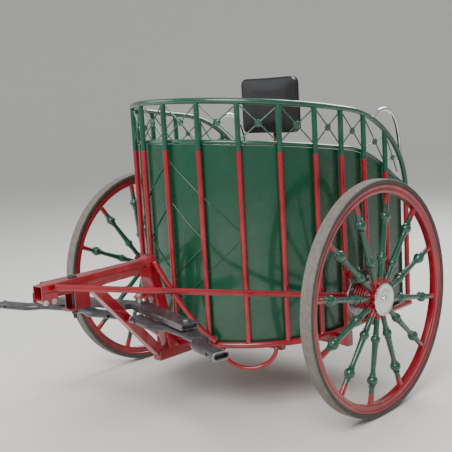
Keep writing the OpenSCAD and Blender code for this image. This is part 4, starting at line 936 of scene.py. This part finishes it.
def makeWheel(side, name, turn):
    w = wheel
    bodyName = name + "_wheel"
    # tyre: pale worn tread between darker walls
    c, half, top, low = 0.0085, w["tyreHalf"], w["tyreR"], w["tyreWall"]
    q = np.linspace(0, math.pi / 2, 7)
    right = [(half - c + c * math.cos(v), top - c + c * math.sin(v)) for v in q]
    crown = [(x, top) for x in (0.008, 0.0, -0.008)]
    left = [(-x, r) for x, r in right[::-1]]
    wall = [(-half, low + 0.006), (-half + 0.0012, low + 0.003), (-half + 0.0022, low), (0.0, low), (half - 0.0022, low), (half - 0.0012, low + 0.003), (half, low + 0.006)]
    section = right + crown + left + wall
    verts, faces, _ = hoopProfile(section, (0, 0, 0), 200)
    quads = faces[0].reshape(200, len(section), 4)
    tread = np.zeros(len(section), bool)
    tread[2:len(right) + len(crown) + len(left) - 3] = True
    parts = [onWheel((verts, [quads[:, tread].reshape(-1, 4)], 0), side), onWheel((verts, [quads[:, ~tread].reshape(-1, 4)], 1), side)]
    makePiece(name + "Tyre", parts, ["tyre", "sidewall"], bodyName, [name + "_tyre"])

    # felloe: rolled channel section, with a socket and a weld for every spoke
    ro, ri = w["rimOut"], w["rimIn"]
    outline = [(-0.025, ro), (0.025, ro), (0.025, ro - 0.009), (0.020, ro - 0.012), (0.018, ro - 0.018), (0.021, ro - 0.021), (0.021, ri + 0.008),
               (0.016, ri), (-0.016, ri), (-0.021, ri + 0.008), (-0.021, ro - 0.021), (-0.018, ro - 0.018), (-0.020, ro - 0.012), (-0.025, ro - 0.009)]
    parts = [hoopProfile(rounded(outline, 0.0022, 4), (0, 0, 0), 200)]
    spokes, sockets = [], []
    for k in range(w["spokes"]):
        t = math.radians(turn + 360 / w["spokes"] * k)
        d = np.array([0, side * math.sin(t), math.cos(t)])
        parts.append(turned([(0.4297, 0.0), (0.4297, 0.0125), (0.4312, 0.0131), (0.433, 0.0128), (0.47, 0.0135), (0.4785, 0.0136)], (0, 0, 0), d, 26))
        parts.append(weld(d * 0.4776, d, 0.0133, 0.0024, m=30))
        a = w["beadAt"]
        b = w["ballAt"]
        profile = [(0.0962, 0.0), (0.0962, 0.0127), (0.1, 0.0131), (0.125, 0.0128), (0.155, 0.0131)]
        profile += collar(0.1605, 0.0158, 0.0132, 0.0044) + arc(a, w["beadR"], 0.0132, 0.0146)
        profile += collar(0.2105, 0.0165, 0.0143, 0.0044) + [(0.222, 0.0142), (0.26, 0.0134), (0.30, 0.0123), (0.322, 0.0117), (0.332, 0.0119), (0.340, 0.0127)]
        profile += collar(0.3455, 0.016, 0.0131) + arc(b, w["ballR"], 0.0133, 0.0131)
        profile += collar(0.4005, 0.016, 0.0129) + [(0.405, 0.0127), (0.412, 0.0121), (0.425, 0.0125), (0.4295, 0.0125), (0.4295, 0.0)]
        spokes.append(turned(profile, (0, 0, 0), d, 26))
        sockets.append(turned([(0.05, 0.0), (0.05, 0.0165), (0.063, 0.0163), (0.0655, 0.0158), (0.068, 0.0148), (0.09, 0.0136), (0.0935, 0.0137), (0.096, 0.0131), (0.096, 0.0)], (0, 0, 0), d, 26))
    makePiece(name + "Felloe", [onWheel(p, side) for p in parts], ["red"], bodyName, [name + "_rim"], angle=45)
    makePiece(name + "Spokes", [onWheel(p, side) for p in spokes], ["green"], bodyName, [name + "_spokes"], angle=50)

    # hub: barrel with cooling flanges, bored for the stub axle
    barrel = [(0.0275, 0.024), (0.0275, w["drum"]), (-0.030, w["drum"]), (-0.030, 0.050)]
    for x in (-0.047, -0.061, -0.075, -0.089):
        barrel += [(x, 0.050), (x, 0.060), (x - 0.007, 0.060), (x - 0.007, 0.050)]
    barrel += [(-0.1007, 0.050), (-0.1007, 0.01505), (0.005, 0.01505), (0.005, 0.024)]
    parts = [hoopProfile(rounded(barrel, 0.0011, 3), (0, 0, 0), 96)] + sockets
    makePiece(name + "Hub", [onWheel(p, side) for p in parts], ["red"], bodyName, [name + "_hub"], angle=40)
    r = w["cap"]
    face = [(0.0278, 0.0), (0.0278, r - 0.0005), (0.0284, r), (0.0312, r), (0.0319, r - 0.0006), (0.0352, r - 0.0044), (0.0357, r - 0.0062), (0.0355, r - 0.0085),
            (0.0346, r - 0.010), (0.0342, r - 0.012), (0.0342, 0.040), (0.0346, 0.0385), (0.0356, 0.037), (0.0358, 0.034), (0.0356, 0.0235), (0.0358, 0.021),
            (0.0392, 0.0203), (0.0404, 0.0196), (0.0408, 0.0182), (0.0408, 0.0)]
    cap = [turned(face, (0, 0, 0), (1, 0, 0), 96), hexHead((0.0407, 0, 0), (1, 0, 0), 0.0188, 0.005)]
    makePiece(name + "HubCap", [onWheel(p, side) for p in cap], ["cap"], bodyName, [name + "_hub_cap"], angle=28)
    softenedCopy(name + "_disc", ["disc"], bodyName, 0.0005)


def makeAxle():
    softenedCopy("axle_hangers", ["red"], "chassis", 0.002)
    softenedCopy("spindles", ["zinc"], "chassis", 0.0008)
    softenedCopy("floor_bearers", ["red"], "chassis", 0.002)
    detail = []
    for side in (-1, 1):
        for y in (-0.012, 0.036):
            detail.append(hexHead((side * 0.7118, y, 0.626), (side, 0, 0), 0.013, 0.0042))
        detail.append(turned([(0, 0.0045), (0.003, 0.0045), (0.0034, 0.003), (0.009, 0.0028), (0.0095, 0.0036), (0.0115, 0.0036), (0.012, 0.0)], (side * 0.683, 0.014, 0.6595), (0, 0, 1), 16))
    softenedCopy("calipers", ["iron", "zinc"], "chassis", 0.0022)
    makePiece("caliperBolts", detail, ["zinc"], "chassis", angle=25)
    hose = np.array([(0.680, 0.0515, 0.640), (0.675, 0.068, 0.648), (0.663, 0.076, 0.635), (0.646, 0.068, 0.597), (0.632, 0.042, 0.545),
                     (0.626, 0.027, 0.490), (0.624, 0.025, 0.400), (0.622, 0.026, 0.330), (0.610, 0.026, 0.305), (0.580, 0.0242, 0.300),
                     (0.384, 0.0242, 0.300), (0.080, 0.0242, 0.300)])
    lines = []
    for side in (-1, 1):
        path = resample(hose, 170) * [side, 1, 1]
        lines.append(tube(path, 0.0035, (0.3 * side, 1, 0.1), 12, domed=True))
        for a, b in ((0, 7), (163, 169)):
            seg = path[a:b + 1]
            lines.append(tube(seg, 0.0046, (0.3 * side, 1, 0.1), 14, 1, domed=True))
        for k in (58, 92, 120, 145):
            lines.append(turned([(-0.004, 0.0035), (-0.004, 0.0047), (0.004, 0.0047), (0.004, 0.0035)], path[k], path[k + 1] - path[k], 16, 1))
    makePiece("brakeHoses", lines, ["hose", "zinc"], "chassis", ["brake_lines"], angle=35)
    print("axle and brakes made")


for side, name, turn in ((1, "left", wheel["nearTurn"]), (-1, "right", wheel["farTurn"])):
    makeWheel(side, name, turn)
print("wheels made")
makeAxle()
treeOffset = -0.054  # how far the bent ends of a singletree stand ahead of its middle
makeHitch()


# foot brake
def makePedal():
    softenedCopy("pedal_bracket", ["red"], "chassis", 0.0012)
    softenedCopy("brake_pedal", ["blackSteel"], "pedal", 0.0016)
    softenedCopy("master_cylinder", ["alloy"], "chassis", 0.0016)
    bits = [hexHead((0.13 + s * 0.0262, -0.36, 0.4), (s, 0, 0), 0.015, 0.0034) for s in ()]
    bits.append(turned([(0, 0.0), (0, 0.0115), (0.0015, 0.0128), (0.006, 0.0128), (0.0072, 0.0115), (0.0075, 0.0)], (0.13, -0.426, 0.4738), (0, 0, 1), 32))
    makePiece("reservoirCap", bits, ["blackSteel"], "chassis")


# driver's seat: post, pan and two stuffed pads
seat = {"postY": 0.290, "width": 0.400, "depth": 0.290, "height": 0.066, "seatZ": 1.030, "backW": 0.364, "backH": 0.288, "backT": 0.052,
        "backZ": 1.276, "pipeR": 0.0026, "voxel": 0.0052, "pressure": 4.0, "steps": 20}


def padOutline(w, d, corner, n=160):
    # rounded rectangle whose four sides pull in a little between the corners
    p = roundedBox(w, d, corner, 14)
    closed = np.vstack([p, p[:1]])
    run = np.concatenate([[0], np.cumsum(np.linalg.norm(np.diff(closed, axis=0), axis=1))])
    s = np.linspace(0, run[-1], n + 1)[:-1]
    p = np.stack([np.interp(s, run, closed[:, k]) for k in (0, 1)], -1)
    pull = 0.0022
    return p - np.stack([np.sign(p[:, 0]) * pull * np.clip(1 - (p[:, 1] / (d / 2)) ** 2, 0, 1) * (np.abs(p[:, 0]) > w / 2 - corner),
                         np.sign(p[:, 1]) * pull * np.clip(1 - (p[:, 0] / (w / 2)) ** 2, 0, 1) * (np.abs(p[:, 1]) > d / 2 - corner)], -1)


def stuff(mesh, pins, cap):
    # blow the closed cover up as cloth with its seams held, then keep each point within cap of its start
    obj = bpy.data.objects.new("stuffing", mesh)
    bpy.context.scene.collection.objects.link(obj)
    start = np.empty(len(mesh.vertices) * 3)
    mesh.vertices.foreach_get("co", start)
    start = start.reshape(-1, 3)
    held = obj.vertex_groups.new(name="seams")
    held.add([int(i) for i in np.flatnonzero(pins(start))], 1.0, "REPLACE")
    cloth = obj.modifiers.new("cover", "CLOTH")
    cloth.settings.quality = 6
    cloth.settings.mass = 0.3
    cloth.settings.use_pressure = True
    cloth.settings.uniform_pressure_force = seat["pressure"]
    cloth.settings.effector_weights.gravity = 0
    cloth.settings.vertex_group_mass = "seams"
    cloth.settings.tension_stiffness = cloth.settings.compression_stiffness = 12
    cloth.settings.bending_stiffness = 0.6
    cloth.point_cache.frame_start, cloth.point_cache.frame_end = 1, seat["steps"]
    scene = bpy.context.scene
    for f in range(1, seat["steps"] + 1):
        scene.frame_set(f)
    blown = obj.evaluated_get(bpy.context.evaluated_depsgraph_get()).to_mesh()
    end = np.empty(len(blown.vertices) * 3)
    blown.vertices.foreach_get("co", end)
    obj.modifiers.remove(cloth)
    scene.frame_set(1)
    step = end.reshape(-1, 3) - start
    size = np.linalg.norm(step, axis=1)[:, None]
    moved = start + step * np.minimum(1, cap / np.maximum(size, 1e-9))
    bpy.data.objects.remove(obj)
    return moved


def remeshed(part, voxel, toWorld):
    verts, faces, _ = part
    mesh = bpy.data.meshes.new("coverStart")
    rows = [r for f in faces for r in (f.tolist() if isinstance(f, np.ndarray) else f)]
    mesh.from_pydata(verts.tolist(), [], rows)
    tidy = bmesh.new()
    tidy.from_mesh(mesh)
    bmesh.ops.remove_doubles(tidy, verts=tidy.verts, dist=1e-6)
    bmesh.ops.recalc_face_normals(tidy, faces=tidy.faces)
    tidy.to_mesh(mesh)
    tidy.free()
    obj = bpy.data.objects.new("coverStart", mesh)
    bpy.context.scene.collection.objects.link(obj)
    grid = obj.modifiers.new("voxels", "REMESH")
    grid.mode, grid.voxel_size = "VOXEL", voxel
    fine = bpy.data.meshes.new_from_object(obj.evaluated_get(bpy.context.evaluated_depsgraph_get()))
    bpy.data.objects.remove(obj)
    return fine


def makePad(name, w, d, t, corner, place, node, cap):
    # pad lies in its own frame: width along x, depth along y, thickness along z; place turns it into the seat
    seamW, seamD, seamZ = w - 0.007, d - 0.007, t / 2 - 0.0095
    outline = padOutline(seamW, seamD, corner)
    rows = [(-t / 2 + 0.0045, s) for s in (0.3, 0.6, 0.85, 0.955)] + [(-seamZ - 0.0028, 0.985), (-seamZ, 1.0)]
    rows += [(z * seamZ, 1.0 - 0.006 * (1 - z * z)) for z in (-0.6, 0.0, 0.6)]
    rows += [(-z, s) for z, s in rows[5::-1]]
    rings = np.stack([np.column_stack([outline * s, np.full(len(outline), z)]) for z, s in rows])
    cover = skin(rings)
    seams = [np.column_stack([outline, np.full(len(outline), z)]) for z in (-seamZ, seamZ)]
    mesh = remeshed(cover, seat["voxel"], place)
    line = np.vstack(seams)

    def pins(p):
        far = np.full(len(p), 1.0)
        for chunk in np.array_split(line, 16):
            far = np.minimum(far, np.linalg.norm(p[:, None] - chunk[None], axis=2).min(1))
        return far < 0.0042

    faces = [list(f.vertices) for f in mesh.polygons]
    verts = stuff(mesh, pins, cap)
    mesh = bpy.data.meshes.new(name)
    mesh.from_pydata((place(verts) + shift).tolist(), [], faces)
    mesh.materials.append(finish["vinyl"])
    mesh.polygons.foreach_set("use_smooth", np.ones(len(mesh.polygons), bool))
    tidy = bmesh.new()
    tidy.from_mesh(mesh)
    bmesh.ops.recalc_face_normals(tidy, faces=tidy.faces)
    tidy.to_mesh(mesh)
    tidy.free()
    pad = bpy.data.objects.new(name, mesh)
    bpy.context.scene.collection.objects.link(pad)
    finer = pad.modifiers.new("finer", "SUBSURF")
    finer.levels = finer.render_levels = 1
    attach(pad, "chassis")
    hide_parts(node)
    # piping over both seams and a row of stitches beside each, laid on the stuffed cover
    pipes = [beadAlong(place(loop * [1.001, 1.001, 1]), seat["pipeR"], place(np.array([[0, 0, 1.0]]))[0] - place(np.zeros((1, 3)))[0], ripple=0.0) for loop in seams]
    tree = BVHTree.FromPolygons([tuple(v) for v in verts], faces)
    stitches = []
    for z, sign in ((seamZ, 1), (-seamZ, -1)):
        inner = padOutline(seamW - 0.013, seamD - 0.013, corner - 0.006, 480)
        on = []
        for x, y in inner:
            hit = tree.ray_cast((x, y, sign * 0.2), (0, 0, -sign))
            on.append((x, y, hit[0][2]) if hit[0] else (x, y, z))
        on = np.array(on)
        on[:, 2] += sign * 0.0001
        for k in range(0, len(on) - 2, 3):
            stitches.append(tube(place(on[k:k + 3]), 0.00045, place(np.array([[0, 0, 1.0]]))[0] - place(np.zeros((1, 3)))[0], 6, 1, domed=True))
    makePiece(name + "Piping", pipes + stitches, ["vinyl", "thread"], "chassis")


def makeSeat():
    b = seat
    top = b["backZ"] + b["backH"] - 0.120 + 0.0003
    post = prism(straight((0, b["postY"], 0.3563), (0, b["postY"], top), 3), roundedBox(0.0298, 0.0298, 0.0032), (1, 0, 0))
    plug = prism(straight((0, b["postY"], top - 0.001), (0, b["postY"], top + 0.003)), roundedBox(0.0292, 0.0292, 0.004), (1, 0, 0), 1)
    plate = slab(roundedBox(0.1, 0.1, 0.006) + [0, b["postY"]], 0.3562, 0.3612, ((1, 0, 0), (0, 1, 0), (0, 0, 1)))
    parts = [post, plug, plate]
    for x in (-0.036, 0.036):
        for y in (-0.036, 0.036):
            parts.append(turned([(0, 0.0105), (0.0012, 0.0105), (0.0014, 0.006)], (x, b["postY"] + y, 0.3612), (0, 0, 1), 24, 2))
            parts.append(hexHead((x, b["postY"] + y, 0.3625), (0, 0, 1), 0.013, 0.0055, 2))
    makePiece("seatPost", parts, ["red", "hose", "zinc"], "chassis", ["seat_post"], angle=30)
    softenedCopy("seat_pan", ["blackSteel"], "chassis", 0.0008)
    makePad("seatPad", b["width"], b["depth"], b["height"], 0.045,
            lambda p: p + [0, b["postY"] - 0.045 - b["depth"] / 2, b["seatZ"] + b["height"] / 2], "seat_cushion", 0.008)
    midY = b["postY"] - 0.015 - 0.0006 - 0.004 - b["backT"] / 2
    makePad("backPad", b["backW"], b["backH"], b["backT"], 0.034,
            lambda p: np.stack([p[:, 0], midY - p[:, 2], b["backZ"] + b["backH"] / 2 + p[:, 1]], -1), "back_cushion", 0.007)
    print("seat made")


makePedal()
makeSeat()


# studio: one seamless pale floor that curves up far away, soft lamps, and the camera
studio = {"floor": "#e6e4e0", "world": "#eef1f4", "worldLight": 0.62, "keyPower": 520, "fillPower": 120, "backPower": 260, "lens": 66.66}


def makeStage():
    q = np.linspace(0, math.pi / 2, 24)
    rows = [(r, 0.0) for r in (0.5, 2, 5, 9, 14)] + [(14 + 9 * math.sin(v), 9 - 9 * math.cos(v)) for v in q[1:]] + [(23, 13)]
    t = np.arange(160) / 160 * 2 * math.pi
    rings = np.stack([np.stack([r * np.cos(t), r * np.sin(t), np.full(160, z)], -1) for r, z in rows])
    n = len(rows)
    a = (np.arange(n - 1)[:, None] * 160 + np.arange(160)[None]).reshape(-1)
    b = (np.arange(n - 1)[:, None] * 160 + (np.arange(160) + 1)[None] % 160).reshape(-1)
    faces = np.stack([a, b, b + 160, a + 160], -1)[:, ::-1].tolist() + [list(range(160))]
    mesh = bpy.data.meshes.new("studioFloor")
    mesh.from_pydata(rings.reshape(-1, 3).tolist(), [], faces)
    mesh.polygons.foreach_set("use_smooth", np.ones(len(mesh.polygons), bool))
    mat, tree, shader, _ = startMaterial("paleFloor")
    shader.inputs["Base Color"].default_value = toLinear(studio["floor"])
    shader.inputs["Roughness"].default_value = 0.72
    shader.inputs["Specular IOR Level"].default_value = 0.25
    mesh.materials.append(mat)
    floor = bpy.data.objects.new("studioFloor", mesh)
    bpy.context.scene.collection.objects.link(floor)


def lamp(name, place, aim, size, power, colour="#ffffff"):
    data = bpy.data.lights.new(name, "AREA")
    data.shape, data.size, data.energy = "DISK", size, power
    data.color = toLinear(colour)[:3]
    obj = bpy.data.objects.new(name, data)
    obj.location = place
    obj.rotation_euler = (Vector(aim) - Vector(place)).to_track_quat("-Z", "Y").to_euler()
    bpy.context.scene.collection.objects.link(obj)


def makeLights():
    world = bpy.data.worlds.new("studioLight")
    world.use_nodes = True
    world.node_tree.nodes["Background"].inputs["Color"].default_value = toLinear(studio["world"])
    world.node_tree.nodes["Background"].inputs["Strength"].default_value = studio["worldLight"]
    bpy.context.scene.world = world
    lamp("keySoftbox", (2.2, -4.6, 5.6), (0, 0, 0.6), 4.4, studio["keyPower"], "#fffaf2")
    lamp("fillSoftbox", (-4.6, -3.6, 3.4), (0, -0.3, 0.7), 4.0, studio["fillPower"], "#f2f6ff")
    lamp("backSoftbox", (-1.0, 4.8, 4.6), (0, 0.2, 0.8), 3.0, studio["backPower"])


def makeCamera():
    # stands to the near side of the drawbar, a little above the top rail, and leans slightly
    yaw, pitch, roll = math.radians(43.72), math.radians(-8.72), math.radians(-3.20)
    f = Vector((-math.sin(yaw) * math.cos(pitch), math.cos(yaw) * math.cos(pitch), math.sin(pitch)))
    r = f.cross(Vector((0, 0, 1))).normalized()
    u = r.cross(f)
    across = math.cos(roll) * r + math.sin(roll) * u
    up = -math.sin(roll) * r + math.cos(roll) * u
    data = bpy.data.cameras.new("camera")
    data.lens, data.sensor_width, data.clip_end = studio["lens"], 36, 200
    cam = bpy.data.objects.new("camera", data)
    cam.matrix_world = Matrix(((across[0], up[0], -f[0], 2.8516), (across[1], up[1], -f[1], -2.8155), (across[2], up[2], -f[2], 1.473), (0, 0, 0, 1)))
    bpy.context.scene.collection.objects.link(cam)
    bpy.context.scene.camera = cam


makeStage()
makeLights()
makeCamera()
bpy.context.view_layer.update()
